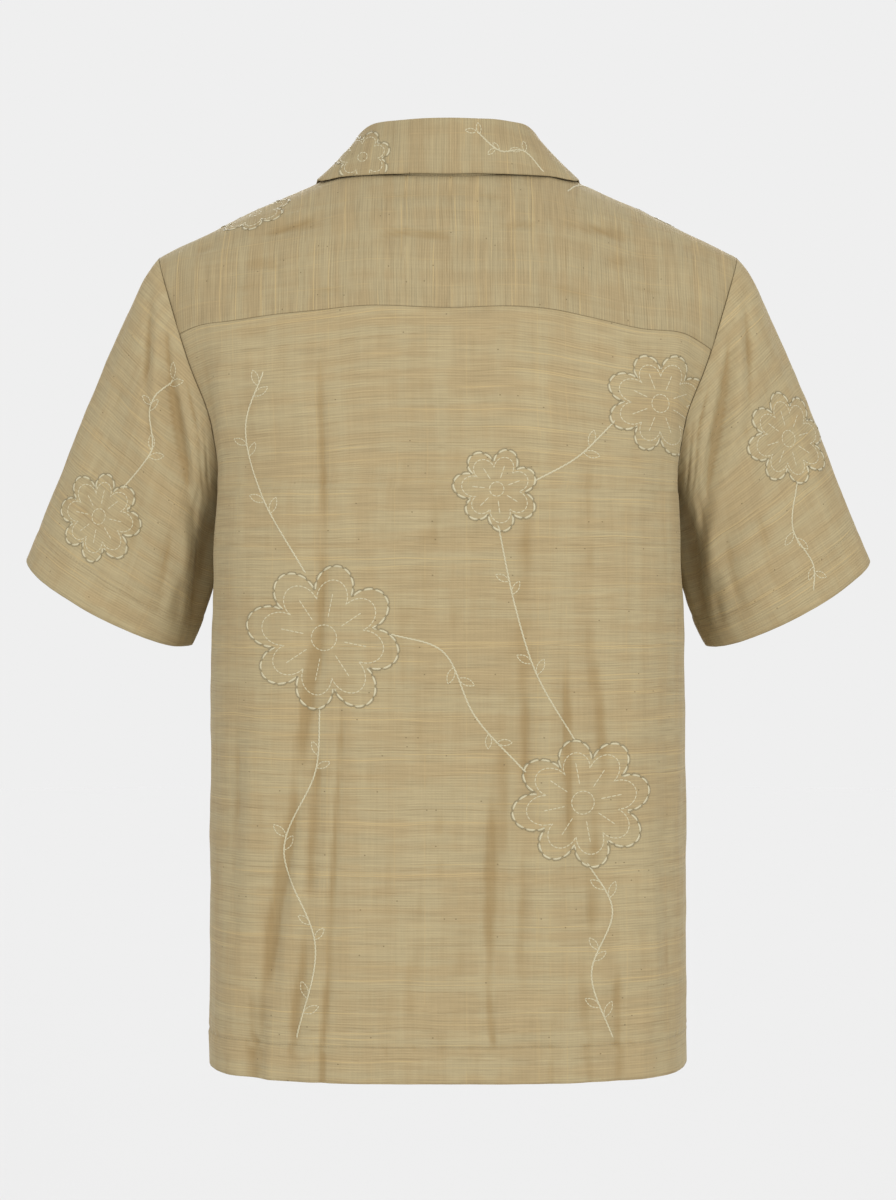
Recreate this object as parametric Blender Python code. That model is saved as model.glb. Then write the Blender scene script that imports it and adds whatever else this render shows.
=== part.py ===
"""A short-sleeved camp shirt, filled out as if worn, in thin cloth walls.

Sizes are in metres. The origin lies midway between the two high points of the shoulders, beside the neck.
+X is the wearer's left, -Y the front and +Z up.

The body is one form with two coordinates: an angle round the body, from 0 at its middle to 90 degrees at
its side, and a level that runs from -1 at the back hem through 0 at the underarm, 1 on top of the shoulder
and 2 at the underarm in front, to 3 at the front hem. Each panel is a patch of that form between seams.
"""

import math
from collections import namedtuple

import bmesh
import bpy
import numpy as np

MM = 0.001

# Cloth and seams
CLOTH = 1.2 * MM
COLLAR_CLOTH = 1.5 * MM
SEAM_GAP = 0.3 * MM
HEM_EXTRA = 0.5 * MM
HEM_DEPTH = 26 * MM
HEM_STEP = 0.5 * MM
HEM_ROWS = 2
SLEEVE_HEM_DEPTH = 25 * MM

# Body form
HEM_HEIGHT = -699 * MM
UNDERARM_HEIGHT = -262 * MM
HALF_WIDTH = 184.8 * MM
TIP_HEIGHT = -77 * MM
TIP_FORM_HALF_WIDTH = 248 * MM
WIDENS_FROM = -245 * MM
WIDENS_EASE = 0.08
BACK_DEPTH = 132 * MM
BACK_HEM_DEPTH = 145 * MM
FRONT_DEPTH = 125 * MM
FRONT_HEM_DEPTH = 131 * MM
SHOULDER_PEAK = 24.3 * MM
SHOULDER_SLOPE = 0.484
SHOULDER_ROUNDING = 30 * MM
SHOULDER_FULLNESS = 0.35
ARMHOLE_ANGLE = 62.0
ARMHOLE_ROUNDING = 0.32
UNDERARM_PINCH = 20 * MM
PINCH_REACH = 35 * MM
PINCH_ABOVE = 50 * MM
PINCH_BELOW = 90 * MM

# How square the body's section is at a height: 2 is an ellipse, more is squarer
Squareness = namedtuple("Squareness", "height power")
SQUARENESS = (
    Squareness(HEM_HEIGHT, 3.5),
    Squareness(UNDERARM_HEIGHT, 2.9),
    Squareness(TIP_HEIGHT, 2.3),
    Squareness(30 * MM, 2.1),
)

# Yoke seams: the back one as a height for each place across, the front one as a level past the shoulder's top
YokePoint = namedtuple("YokePoint", "across height")
BACK_YOKE = (
    YokePoint(209 * MM, -140.3 * MM),
    YokePoint(190 * MM, -134.5 * MM),
    YokePoint(168 * MM, -133.0 * MM),
    YokePoint(128 * MM, -129.0 * MM),
    YokePoint(96 * MM, -126.7 * MM),
    YokePoint(66 * MM, -124.0 * MM),
    YokePoint(0, -126.0 * MM),
    YokePoint(-56 * MM, -124.7 * MM),
    YokePoint(-80 * MM, -126.8 * MM),
    YokePoint(-104 * MM, -131.5 * MM),
    YokePoint(-144 * MM, -139.4 * MM),
    YokePoint(-186 * MM, -143.5 * MM),
    YokePoint(-205 * MM, -153.5 * MM),
)
FRONT_YOKE_AT_ARM = 1.42

# Neckline, as an ellipse in plan, and the open neck of the fronts
NECK_HALF_WIDTH = 78 * MM
NECK_BACK = 69 * MM
NECK_FRONT = 100 * MM
YOKE_NECK_END = 108.0
GORGE_ANGLE = 128.0
OVERLAP = 18 * MM
OVERLAP_FADE = 60 * MM
OVERLAP_SHIFT = 1.05 * MM
BREAK_HEIGHT = -165 * MM
RIGHT_BREAK = (-7 * MM, -130 * MM)

# Lapels and collar, as places across and heights in the front view
NOTCH = (78 * MM, -82 * MM)
COLLAR_POINT = (112 * MM, -92 * MM)
LAPEL_POINT = (98 * MM, -113 * MM)
LAPEL_START_WIDTH = 3 * MM
LAPEL_BOW = 3 * MM
LAPEL_STAND = 1.2 * MM
ROLL_RADIUS = 1.2 * MM
EDGE_CLEARANCE = 1.3 * MM
COLLAR_HALF_WIDTH = 100 * MM
COLLAR_BACK = 73 * MM

CollarSection = namedtuple("CollarSection", "angle stand lean roll clearance")
COLLAR_SECTIONS = (
    CollarSection(0, 37.2 * MM, 0.12, 2.4 * MM, 5.5 * MM),
    CollarSection(45, 34.5 * MM, 0.30, 2.2 * MM, 5.0 * MM),
    CollarSection(90, 25.0 * MM, 0.50, 1.8 * MM, 1.6 * MM),
    CollarSection(110, 12.5 * MM, 0.40, 1.5 * MM, 1.3 * MM),
    CollarSection(GORGE_ANGLE, LAPEL_STAND, 0.30, ROLL_RADIUS, EDGE_CLEARANCE),
)

# Sleeve hem: an oval about its centre, given for the wearer's left
SLEEVE_HEM_CENTRE = (271.0 * MM, -30 * MM, -345 * MM)
SLEEVE_HEM_OUT = (66.3 * MM, 0.0, 33.8 * MM)
SLEEVE_HEM_BACK = (0.0, 50.2 * MM, -13.5 * MM)
SLEEVE_LEAVES = (0.70, 0.25, -0.72)
SLEEVE_ENDS = (0.50, -0.18, -0.87)
SLEEVE_ENDS_FLARE = -0.10
SLEEVE_LEAVES_PULL = 0.44
SLEEVE_ENDS_PULL = 1.0

# Buttons
BUTTON_RADIUS = 5.6 * MM
BUTTON_RIM = 1.3 * MM
BUTTON_THICKNESS = 2.6 * MM
BUTTON_DISH = 0.8 * MM
BUTTON_HOLE_RADIUS = 0.9 * MM
BUTTON_HOLE_OFFSET = 1.7 * MM
BUTTON_COUNT = 5
BUTTON_FIRST = -178 * MM
BUTTON_PITCH = 97 * MM
BUTTON_SIDES = 20
HOLE_SIDES = 6

# How many cells each stretch of a panel has
SIDE_ROWS = 12
ARMHOLE_ROWS = 10
YOKE_ROWS = 8
FRONT_COLUMNS = 14
NECK_COLUMNS = 20
BACK_COLUMNS = NECK_COLUMNS + 2 * FRONT_COLUMNS
NECK_ROWS = 3
LAPEL_ROWS = 7
SLEEVE_ROWS = 13
ROLL_STEPS = 4
MITRE_FADES = (0.60, 0.85)
STAND_STEPS = 2
GORGE_STEPS = 4
POINT_STEPS = 2

# Soft folds of the body, from the top of each to its lower end: troughs have a negative depth
Fold = namedtuple("Fold", "face top_across top_height low_across low_height half_width depth")
BODY_FOLDS = (
    Fold("back", 98 * MM, -205 * MM, 118 * MM, HEM_HEIGHT, 13 * MM, -3.6 * MM),
    Fold("back", 114 * MM, -440 * MM, 146 * MM, HEM_HEIGHT, 14 * MM, -3.4 * MM),
    Fold("back", 82 * MM, -360 * MM, 94 * MM, HEM_HEIGHT, 10 * MM, -2.0 * MM),
    Fold("back", 106 * MM, -420 * MM, 131 * MM, HEM_HEIGHT, 11 * MM, 2.6 * MM),
    Fold("back", -60 * MM, -215 * MM, -34 * MM, -660 * MM, 15 * MM, -3.4 * MM),
    Fold("back", -92 * MM, -330 * MM, -104 * MM, -640 * MM, 13 * MM, -2.6 * MM),
    Fold("back", -122 * MM, -350 * MM, -126 * MM, HEM_HEIGHT, 12 * MM, -2.8 * MM),
    Fold("back", -76 * MM, -300 * MM, -70 * MM, -640 * MM, 13 * MM, 2.0 * MM),
    Fold("front", 120 * MM, -210 * MM, 104 * MM, HEM_HEIGHT, 15 * MM, -3.6 * MM),
    Fold("front", 86 * MM, -330 * MM, 70 * MM, HEM_HEIGHT, 13 * MM, -2.6 * MM),
    Fold("front", 104 * MM, -300 * MM, 88 * MM, HEM_HEIGHT, 13 * MM, 2.4 * MM),
    Fold("front", -112 * MM, -200 * MM, -118 * MM, HEM_HEIGHT, 15 * MM, -3.4 * MM),
    Fold("front", -78 * MM, -360 * MM, -84 * MM, HEM_HEIGHT, 13 * MM, -2.4 * MM),
    Fold("front", -96 * MM, -320 * MM, -102 * MM, HEM_HEIGHT, 12 * MM, 2.2 * MM),
)

# Soft folds of a sleeve: turns are 0 at the underarm, 0.5 on top, 1 at the underarm again by way of the back
SleeveFold = namedtuple("SleeveFold", "top_turn top_drop low_turn low_drop half_width depth")
SLEEVE_FOLDS = (
    SleeveFold(0.30, 0.05, 0.10, 0.60, 0.035, -4.5 * MM),
    SleeveFold(0.36, 0.10, 0.19, 0.75, 0.035, 3.5 * MM),
    SleeveFold(0.42, 0.20, 0.30, 0.90, 0.040, -2.8 * MM),
    SleeveFold(0.70, 0.05, 0.90, 0.60, 0.035, -4.0 * MM),
    SleeveFold(0.64, 0.10, 0.80, 0.80, 0.035, 3.0 * MM),
)

# Colours: red, green and blue in linear light
CLOTH_COLOUR = (0.43, 0.34, 0.20, 1.0)
BUTTON_COLOUR = (0.33, 0.24, 0.14, 1.0)
CLOTH_ROUGHNESS = 0.85
BUTTON_ROUGHNESS = 0.35

SIDE, BACK_UNDERARM, RIDGE, FRONT_UNDERARM = 90.0, 0.0, 1.0, 2.0
UP = np.array([0.0, 0.0, 1.0])


def unit(vectors):
    """The vectors at length 1."""
    vectors = np.asarray(vectors, float)
    return vectors / np.maximum(np.linalg.norm(vectors, axis=-1, keepdims=True), 1e-12)


def smooth(share):
    """0 to 1 with a level start and end."""
    share = np.clip(share, 0.0, 1.0)
    return share * share * (3 - 2 * share)


def curve_through(places, values, at):
    """A smooth curve through values at places, read where it is asked."""
    places, values = np.asarray(places, float), np.asarray(values, float)
    slopes = np.gradient(values, places)
    at = np.clip(at, places[0], places[-1])
    i = np.clip(np.searchsorted(places, at) - 1, 0, len(places) - 2)
    span = places[i + 1] - places[i]
    t = (at - places[i]) / span
    return (
        (2 * t**3 - 3 * t**2 + 1) * values[i]
        + (t**3 - 2 * t**2 + t) * span * slopes[i]
        + (3 * t**2 - 2 * t**3) * values[i + 1]
        + (t**3 - t**2) * span * slopes[i + 1]
    )


# Body form


def half_width(height):
    """Half the form's width at a height: constant below the underarm, wider towards the shoulders."""
    share = np.clip((height - WIDENS_FROM) / (TIP_HEIGHT - WIDENS_FROM), 0, 1)
    eased = share**2 * (1 + WIDENS_EASE) / (share + WIDENS_EASE)
    return HALF_WIDTH + (TIP_FORM_HALF_WIDTH - HALF_WIDTH) * eased


def squareness(height):
    """The power of the superellipse at a height."""
    return curve_through([row.height for row in SQUARENESS], [row.power for row in SQUARENESS], height)


def depth(height, back):
    """How far the form reaches from its middle plane, before it closes over the shoulders."""
    down = np.clip((UNDERARM_HEIGHT - height) / (UNDERARM_HEIGHT - HEM_HEIGHT), 0, 1) ** 2
    at_back = BACK_DEPTH + (BACK_HEM_DEPTH - BACK_DEPTH) * down
    at_front = FRONT_DEPTH + (FRONT_HEM_DEPTH - FRONT_DEPTH) * down
    return np.where(back, at_back, at_front)


def closing(angle):
    """How the form closes over the shoulders: 1 is an ellipse, less is fuller, as at the armholes."""
    return 1 - SHOULDER_FULLNESS * np.sin(angle) ** 2


def ridge_height(across):
    """The height of the shoulder's top line."""
    return SHOULDER_PEAK - SHOULDER_SLOPE * (np.hypot(across, SHOULDER_ROUNDING) - SHOULDER_ROUNDING)


def form(angle, level):
    """The plain form's point at an angle in degrees and a level."""
    angle, level = np.broadcast_arrays(np.radians(angle), np.asarray(level, float))
    below = np.where(level < BACK_UNDERARM, -level, np.clip(level - FRONT_UNDERARM, 0, None))
    turn = np.radians(90 * np.clip(level, BACK_UNDERARM, FRONT_UNDERARM))
    low = UNDERARM_HEIGHT - below * (UNDERARM_HEIGHT - HEM_HEIGHT)
    x = np.zeros(angle.shape)
    for _ in range(8):
        high = UNDERARM_HEIGHT + (ridge_height(x) - UNDERARM_HEIGHT) * np.sin(turn)
        z = np.where(below > 0, low, high)
        power = squareness(z)
        reach = (np.abs(np.sin(angle)) ** power + np.abs(np.cos(angle)) ** power) ** (-1 / power)
        x = half_width(z) * reach * np.sin(angle)
    over = np.sign(np.cos(turn)) * np.abs(np.cos(turn)) ** closing(angle)
    y = depth(z, level < RIDGE) * reach * np.cos(angle) * over
    above_underarm = z - UNDERARM_HEIGHT
    fade = np.where(above_underarm > 0, PINCH_ABOVE, PINCH_BELOW)
    pinch = UNDERARM_PINCH * np.exp(-((y / PINCH_REACH) ** 2) - (above_underarm / fade) ** 2)
    x = x - pinch * np.clip(np.sin(angle), -1, 1) ** 3
    return np.stack([x, y, z], axis=-1)


def form_normal(angle, level):
    """The outward normal of the plain form."""
    step = 1e-4
    around = form(np.asarray(angle) + 90 * step, level) - form(np.asarray(angle) - 90 * step, level)
    over = form(angle, np.asarray(level) + step) - form(angle, np.asarray(level) - step)
    return unit(np.cross(over, around))


def fold_relief(points, back):
    """How far the body's folds move its points outwards."""
    relief = np.zeros(points.shape[:-1])
    for fold in BODY_FOLDS:
        run = (fold.top_height - points[..., 2]) / (fold.top_height - fold.low_height)
        middle = fold.top_across + (fold.low_across - fold.top_across) * smooth(run)
        ends = smooth(run / 0.45)
        if fold.low_height > HEM_HEIGHT:
            ends = ends * smooth((1 - run) / 0.3)
        shape = np.exp(-(((points[..., 0] - middle) / fold.half_width) ** 2))
        relief += np.where(back == (fold.face == "back"), fold.depth * shape * ends, 0)
    return relief


def cloth_point(angle, level, side=0):
    """A point of the body's cloth, with its folds. Side is 1 on the left front, -1 on the right one."""
    plain, normal = form(angle, level), form_normal(angle, level)
    level = np.broadcast_to(level, plain.shape[:-1])
    out = fold_relief(plain, level < RIDGE)
    out = out + side * OVERLAP_SHIFT * smooth(1 - (np.abs(plain[..., 0]) - OVERLAP) / OVERLAP_FADE)
    return plain + normal * out[..., None]


def place_in_plan(x, y):
    """Angle and level of the form's point above a place in plan."""
    z, back = 0.0, y >= 0
    for _ in range(8):
        power = squareness(z)
        share = min(abs(x) / half_width(z), 1)
        front_share = (1 - share**power) ** (1 / power)
        angle = math.atan2(share, front_share)
        over = min(abs(y) / (depth(z, back) * front_share), 1)
        turn = math.acos(math.copysign(over ** (1 / closing(angle)), y))
        z = UNDERARM_HEIGHT + (ridge_height(x) - UNDERARM_HEIGHT) * math.sin(turn)
    return math.copysign(math.degrees(angle), x), math.degrees(turn) / 90


def place_in_view(x, z, back=False):
    """Angle and level of the form's point at a place in the front or back view."""
    power = squareness(z)
    share = min(abs(x) / half_width(z), 1)
    angle = math.degrees(math.atan2(share, (1 - share**power) ** (1 / power)))
    if z < UNDERARM_HEIGHT:
        below = (UNDERARM_HEIGHT - z) / (UNDERARM_HEIGHT - HEM_HEIGHT)
        level = -below if back else FRONT_UNDERARM + below
    else:
        turn = math.asin(min((z - UNDERARM_HEIGHT) / (ridge_height(x) - UNDERARM_HEIGHT), 1))
        level = math.degrees(turn) / 90
        level = level if back else FRONT_UNDERARM - level
    return math.copysign(angle, x), level


# Seams, as rows of (angle, level)


def line(start, end, cells):
    """Evenly spaced places from one to another."""
    share = np.linspace(0, 1, cells + 1)[:, None]
    return (1 - share) * np.array(start) + share * np.array(end)


def join(*stretches):
    """Stretches of a seam that follow each other, each starting where the last one ended."""
    return np.concatenate([stretches[0]] + [stretch[1:] for stretch in stretches[1:]])


def armhole_angle(level):
    """The armhole's angle at a level: the side at the underarm, rounding up to a constant angle."""
    rise = np.clip(np.sin(np.radians(90 * level)) / ARMHOLE_ROUNDING, 0, 1)
    return SIDE - (SIDE - ARMHOLE_ANGLE) * np.sqrt(np.clip(1 - (1 - rise) ** 2, 0, 1))


def armhole(start, end, cells):
    """The armhole from one level to another, in cells of even length."""
    fine = np.linspace(0, 1, 400)
    if start == BACK_UNDERARM:
        fine = fine**2
    if end == FRONT_UNDERARM:
        fine = 1 - (1 - fine) ** 2
    levels = start + (end - start) * fine
    places = np.stack([armhole_angle(levels), levels], axis=1)
    steps = np.linalg.norm(np.diff(form(*places.T), axis=0), axis=1)
    run = np.concatenate([[0], np.cumsum(steps)])
    even = np.linspace(0, run[-1], cells + 1)
    return np.stack([np.interp(even, run, column) for column in places.T], axis=1)


def side_levels():
    """Shares of the side seam from hem to underarm, with a row at the top of the hem."""
    rise = UNDERARM_HEIGHT - HEM_HEIGHT
    hem, step = HEM_DEPTH / rise, HEM_STEP / rise
    return np.concatenate([[0, hem - step, hem + step], np.linspace(hem + step, 1, SIDE_ROWS - 1)[1:]])


def back_yoke_place(angle):
    """The back yoke seam's place at an angle."""
    rows = sorted(BACK_YOKE)
    level = 0.4
    for _ in range(8):
        across = form(angle, level)[0]
        height = curve_through([row.across for row in rows], [row.height for row in rows], across)
        level = place_in_view(across, float(height), back=True)[1]
    return angle, level


def neck_place(angle):
    """The neckline's place at an angle in plan, 0 at the back and 90 at the side."""
    turn = math.radians(abs(angle))
    reach = NECK_BACK if abs(angle) < 90 else NECK_FRONT
    return place_in_plan(math.copysign(NECK_HALF_WIDTH * math.sin(turn), angle), reach * math.cos(turn))


def neckline(start, end, cells):
    """The neckline from one angle in plan to another."""
    return np.array([neck_place(angle) for angle in np.linspace(start, end, cells + 1)])


def back_yoke_seam():
    """The seam between back and yoke, from the wearer's right armhole to the left."""
    angles = np.linspace(-ARMHOLE_ANGLE, ARMHOLE_ANGLE, BACK_COLUMNS + 1)
    return np.array([back_yoke_place(angle) for angle in angles])


def front_yoke_seam():
    """The seam between yoke and left front, from neck to armhole."""
    start, end = neck_place(YOKE_NECK_END), (ARMHOLE_ANGLE, FRONT_YOKE_AT_ARM)
    share = np.linspace(0, 1, FRONT_COLUMNS + 1)
    seam = line(start, end, FRONT_COLUMNS)
    seam[:, 1] = start[1] + (end[1] - start[1]) * share**1.6
    return seam


def break_place(side):
    """Where a front's turned-out edge begins, across and in height."""
    return (-side * OVERLAP, BREAK_HEIGHT)


def opening_edge(side):
    """A front's edge along the open neck, from the break to the gorge."""
    gorge = form(*neck_place(side * GORGE_ANGLE))
    share = np.linspace(0, 1, LAPEL_ROWS + 1)[:, None]
    start = np.array(break_place(side))
    view = (1 - share) * start + share * gorge[[0, 2]]
    return np.array([place_in_view(x, z) for x, z in view])


def patch(bottom, top, left, right):
    """Places inside four seams, as a grid that runs across and then up."""
    across = np.linspace(0, 1, len(bottom))[:, None]
    climb = [(seam[:, 1] - seam[0, 1]) / (seam[-1, 1] - seam[0, 1]) for seam in (left, right)]
    share = (1 - across) * climb[0] + across * climb[1]
    grid = bottom[:, None] + (top - bottom)[:, None] * share[..., None]
    grid[..., 0] += (1 - across) * (left[:, 0] - grid[0, :, 0]) + across * (right[:, 0] - grid[-1, :, 0])
    return grid


# Walls


def pull_in(grid, sides):
    """Moves a grid's named edges inwards by half a seam gap."""
    grid = grid.copy()
    rows = {"left": (0, 1), "right": (-1, -2)}
    for name, (edge, inner) in rows.items():
        if name in sides:
            grid[edge] += unit(grid[inner] - grid[edge]) * SEAM_GAP / 2
    rows = {"bottom": (0, 1), "top": (-1, -2)}
    for name, (edge, inner) in rows.items():
        if name in sides:
            grid[:, edge] += unit(grid[:, inner] - grid[:, edge]) * SEAM_GAP / 2
    return grid


def add_object(name, points, faces, material):
    """One named mesh object with its faces pointing outwards."""
    mesh = bpy.data.meshes.new(name)
    mesh.from_pydata([tuple(p) for p in points], [], faces)
    shape = bmesh.new()
    shape.from_mesh(mesh)
    bmesh.ops.recalc_face_normals(shape, faces=shape.faces)
    shape.to_mesh(mesh)
    shape.free()
    mesh.shade_smooth()
    mesh.set_sharp_from_angle(angle=math.radians(40))
    mesh.materials.append(material)
    part = bpy.data.objects.new(name, mesh)
    bpy.context.scene.collection.objects.link(part)
    return part


def add_wall(name, outer, inner, material, ring=False):
    """A cloth wall between two grids of points. A ring closes on itself across."""
    columns, rows = outer.shape[:2]
    count = columns * rows
    points = np.concatenate([outer.reshape(-1, 3), inner.reshape(-1, 3)])

    def at(column, row, face):
        return (column % columns) * rows + row + face * count

    faces = []
    for c in range(columns if ring else columns - 1):
        for r in range(rows - 1):
            cell = np.array([at(c, r, 0), at(c + 1, r, 0), at(c + 1, r + 1, 0), at(c, r + 1, 0)])
            diagonals = np.linalg.norm(points[cell[:2]] - points[cell[2:]], axis=1)
            first = int(diagonals[1] < diagonals[0])
            for corners in ((0, 1, 2), (0, 2, 3)):
                triangle = cell[[(first + corner) % 4 for corner in corners]]
                faces += [triangle.tolist(), (triangle[::-1] + count).tolist()]
        for r in (0, rows - 1):
            edge = [at(c, r, 0), at(c, r, 1), at(c + 1, r, 1), at(c + 1, r, 0)]
            faces.append(edge if r == 0 else edge[::-1])
    if not ring:
        for r in range(rows - 1):
            for c in (0, columns - 1):
                edge = [at(c, r, 0), at(c, r + 1, 0), at(c, r + 1, 1), at(c, r, 1)]
                faces.append(edge if c == 0 else edge[::-1])
    return add_object(name, points, faces, material)


def seam_mitres(ring, side):
    """The directions of the body's and the sleeve's thickness round an armhole.

    Both are midway between the two normals where the seam is a ridge. Under the arm, where the outer
    faces look at each other, each piece keeps its own normal.
    """
    normal, points = form_normal(*ring.T), form(*ring.T)
    along = np.roll(points, -1, axis=0) - np.roll(points, 1, axis=0)
    sleeve_normal = unit(np.cross(along, sleeve_leaves(ring, side))) * side
    middle = unit(normal + sleeve_normal)
    cosine = (middle * normal).sum(-1, keepdims=True)
    ridge = smooth((cosine - MITRE_FADES[0]) / (MITRE_FADES[1] - MITRE_FADES[0]))
    mitre = middle / np.maximum(cosine, MITRE_FADES[0])
    return normal + (mitre - normal) * ridge, sleeve_normal + (mitre - sleeve_normal) * ridge


def body_panel(name, grid, side, material, mitres, edges):
    """A panel of the body. Mitres give the thickness's direction on its first or last columns."""
    outer = cloth_point(grid[..., 0], grid[..., 1], side)
    normal = form_normal(grid[..., 0], grid[..., 1])
    for column, mitre in mitres.items():
        normal[column, -len(mitre):] = mitre
    thickness = np.full(grid.shape[1], CLOTH)
    if "bottom" not in edges:
        thickness[:HEM_ROWS] += HEM_EXTRA
    inner = outer - normal * thickness[:, None]
    return add_wall(name, pull_in(outer, edges), pull_in(inner, edges), material)


def sleeve_leaves(places, side):
    """The direction in which a sleeve leaves its armhole, at each place of it."""
    out, back, down = SLEEVE_LEAVES
    turn = np.radians(90 * places[:, 1])
    level = np.ones(len(turn))
    return unit(np.stack([side * out * level, back * np.sin(2 * turn), down * level], axis=1))


class Seams:
    """Every seam that two pieces share, for one side of the wearer: 1 is the left and -1 the right."""

    def __init__(self, side):
        rise = side_levels()
        back_yoke = back_yoke_seam()
        yoke_end = back_yoke[-1 if side > 0 else 0, 1]
        flip = np.array([side, 1.0])
        self.side = side
        self.back_side = np.stack([np.full(len(rise), SIDE), rise - 1], axis=1) * flip
        self.front_side = np.stack([np.full(len(rise), SIDE), 3 - rise], axis=1) * flip
        self.back_armhole = armhole(BACK_UNDERARM, yoke_end, ARMHOLE_ROWS) * flip
        self.yoke_armhole = armhole(yoke_end, FRONT_YOKE_AT_ARM, YOKE_ROWS) * flip
        self.front_armhole = armhole(FRONT_YOKE_AT_ARM, FRONT_UNDERARM, ARMHOLE_ROWS) * flip
        self.front_yoke = front_yoke_seam() * flip
        self.neck = neckline(side * YOKE_NECK_END, side * GORGE_ANGLE, NECK_ROWS)
        self.opening = opening_edge(side)
        self.ring = join(self.back_armhole, self.yoke_armhole, self.front_armhole)[:-1]
        self.body_mitre, self.sleeve_mitre = seam_mitres(self.ring, side)

    def mitres(self, start, end):
        """The body's thickness directions along a stretch of the armhole."""
        return np.take(self.body_mitre, np.arange(start, end + 1), axis=0, mode="wrap")


def make_back(left, right, material):
    """The back panel, from hem to yoke."""
    hem, underarm = (line((-SIDE, level), (SIDE, level), BACK_COLUMNS) for level in (-1, BACK_UNDERARM))
    lower = patch(hem, underarm, right.back_side, left.back_side)
    upper = patch(underarm, back_yoke_seam(), right.back_armhole, left.back_armhole)
    grid = np.concatenate([lower, upper[:, 1:]], axis=1)
    mitres = {0: right.mitres(0, ARMHOLE_ROWS), -1: left.mitres(0, ARMHOLE_ROWS)}
    return body_panel("back", grid, 0, material, mitres, ("left", "right", "top"))


def make_yoke(left, right, material):
    """The yoke, from the back seam over both shoulders to the fronts, cut out round the neck."""
    neck = neckline(-YOKE_NECK_END, YOKE_NECK_END, NECK_COLUMNS)
    top = join(right.front_yoke[::-1], neck, left.front_yoke)
    grid = patch(back_yoke_seam(), top, right.yoke_armhole, left.yoke_armhole)
    rows = (ARMHOLE_ROWS, ARMHOLE_ROWS + YOKE_ROWS)
    mitres = {0: right.mitres(*rows), -1: left.mitres(*rows)}
    return body_panel("yoke", grid, 0, material, mitres, ("left", "right", "top", "bottom"))


def make_front(seams, name, material):
    """One front, from hem to yoke, with its edge at the overlap, the open neck and the neckline."""
    heights = HEM_HEIGHT + (BREAK_HEIGHT - HEM_HEIGHT) * side_levels()
    heights[1:HEM_ROWS + 1] = HEM_HEIGHT + HEM_DEPTH + np.array([-1, 1]) * HEM_STEP
    edge = np.array([place_in_view(-seams.side * OVERLAP, height) for height in heights])
    hem = line(edge[0], seams.front_side[0], FRONT_COLUMNS)
    underarm = line(edge[-1], seams.front_side[-1], FRONT_COLUMNS)
    underarm[:, 1] += (FRONT_UNDERARM - underarm[:, 1]) * np.linspace(0, 1, FRONT_COLUMNS + 1)
    lower = patch(hem, underarm, edge, seams.front_side)
    inner = join(seams.opening, seams.neck[::-1])
    upper = patch(underarm, seams.front_yoke, inner, seams.front_armhole[::-1])
    grid = np.concatenate([lower, upper[:, 1:]], axis=1)
    mitre = seams.mitres(ARMHOLE_ROWS + YOKE_ROWS, 2 * ARMHOLE_ROWS + YOKE_ROWS)[::-1]
    return body_panel(name, grid, seams.side, material, {-1: mitre}, ("left", "right", "top"))


def make_sleeve(seams, name, material):
    """A set-in sleeve, from the armhole to its hem, with its seam under the arm."""
    side = np.array([seams.side, 1.0, 1.0])
    places = seams.ring
    start = cloth_point(*places.T)
    leaves = sleeve_leaves(places, seams.side)
    steps = np.linalg.norm(np.diff(start, axis=0, append=start[:1]), axis=1)
    run = np.concatenate([[0], np.cumsum(steps)])
    top = run[np.argmin(np.abs(places[:, 1] - RIDGE))]
    turns = np.where(run[:-1] <= top, run[:-1] / top / 2, 0.5 + (run[:-1] - top) / (run[-1] - top) / 2)
    round_hem = math.pi * (1 - 2 * turns)
    end = (
        np.array(SLEEVE_HEM_CENTRE)
        + np.outer(np.cos(round_hem), SLEEVE_HEM_OUT)
        + np.outer(np.sin(round_hem), SLEEVE_HEM_BACK)
    ) * side
    ends = np.array(SLEEVE_ENDS) + np.outer(np.cos(round_hem), (SLEEVE_ENDS_FLARE, 0, 0))
    reach = np.linalg.norm(end - start, axis=1, keepdims=True)
    hem_share = SLEEVE_HEM_DEPTH / reach.mean()
    drops = np.concatenate([np.linspace(0, 1 - 1.04 * hem_share, SLEEVE_ROWS - 1), [1 - hem_share, 1]])
    t = drops[None, :, None]
    grid = (
        (2 * t**3 - 3 * t**2 + 1) * start[:, None]
        + (t**3 - 2 * t**2 + t) * (leaves * reach * SLEEVE_LEAVES_PULL)[:, None]
        + (3 * t**2 - 2 * t**3) * end[:, None]
        + (t**3 - t**2) * (unit(ends * side) * reach * SLEEVE_ENDS_PULL)[:, None]
    )
    around = np.roll(grid, -1, axis=0) - np.roll(grid, 1, axis=0)
    normal = unit(np.cross(around, np.gradient(grid, axis=1))) * seams.side
    outer = grid + normal * sleeve_relief(turns[:, None], drops[None, :])[..., None]
    outer[:, 0] = start + leaves * SEAM_GAP / 2
    thickness = CLOTH + np.where(drops >= 1 - hem_share - 1e-9, HEM_EXTRA, 0)
    direction = normal.copy()
    direction[:, 0] = seams.sleeve_mitre
    inner = outer - direction * thickness[None, :, None]
    return add_wall(name, outer, inner, material, ring=True)


def sleeve_relief(turns, drops):
    """How far a sleeve's folds move its points outwards."""
    relief = np.zeros(np.broadcast(turns, drops).shape)
    for fold in SLEEVE_FOLDS:
        run = (drops - fold.top_drop) / (fold.low_drop - fold.top_drop)
        middle = fold.top_turn + (fold.low_turn - fold.top_turn) * np.clip(run, 0, 1)
        ends = smooth(run / 0.4) * smooth((1 - run) / 0.4)
        relief += fold.depth * np.exp(-(((turns - middle) / fold.half_width) ** 2)) * ends
    return relief * smooth(drops / 0.15)


# Collar and lapels


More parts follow.
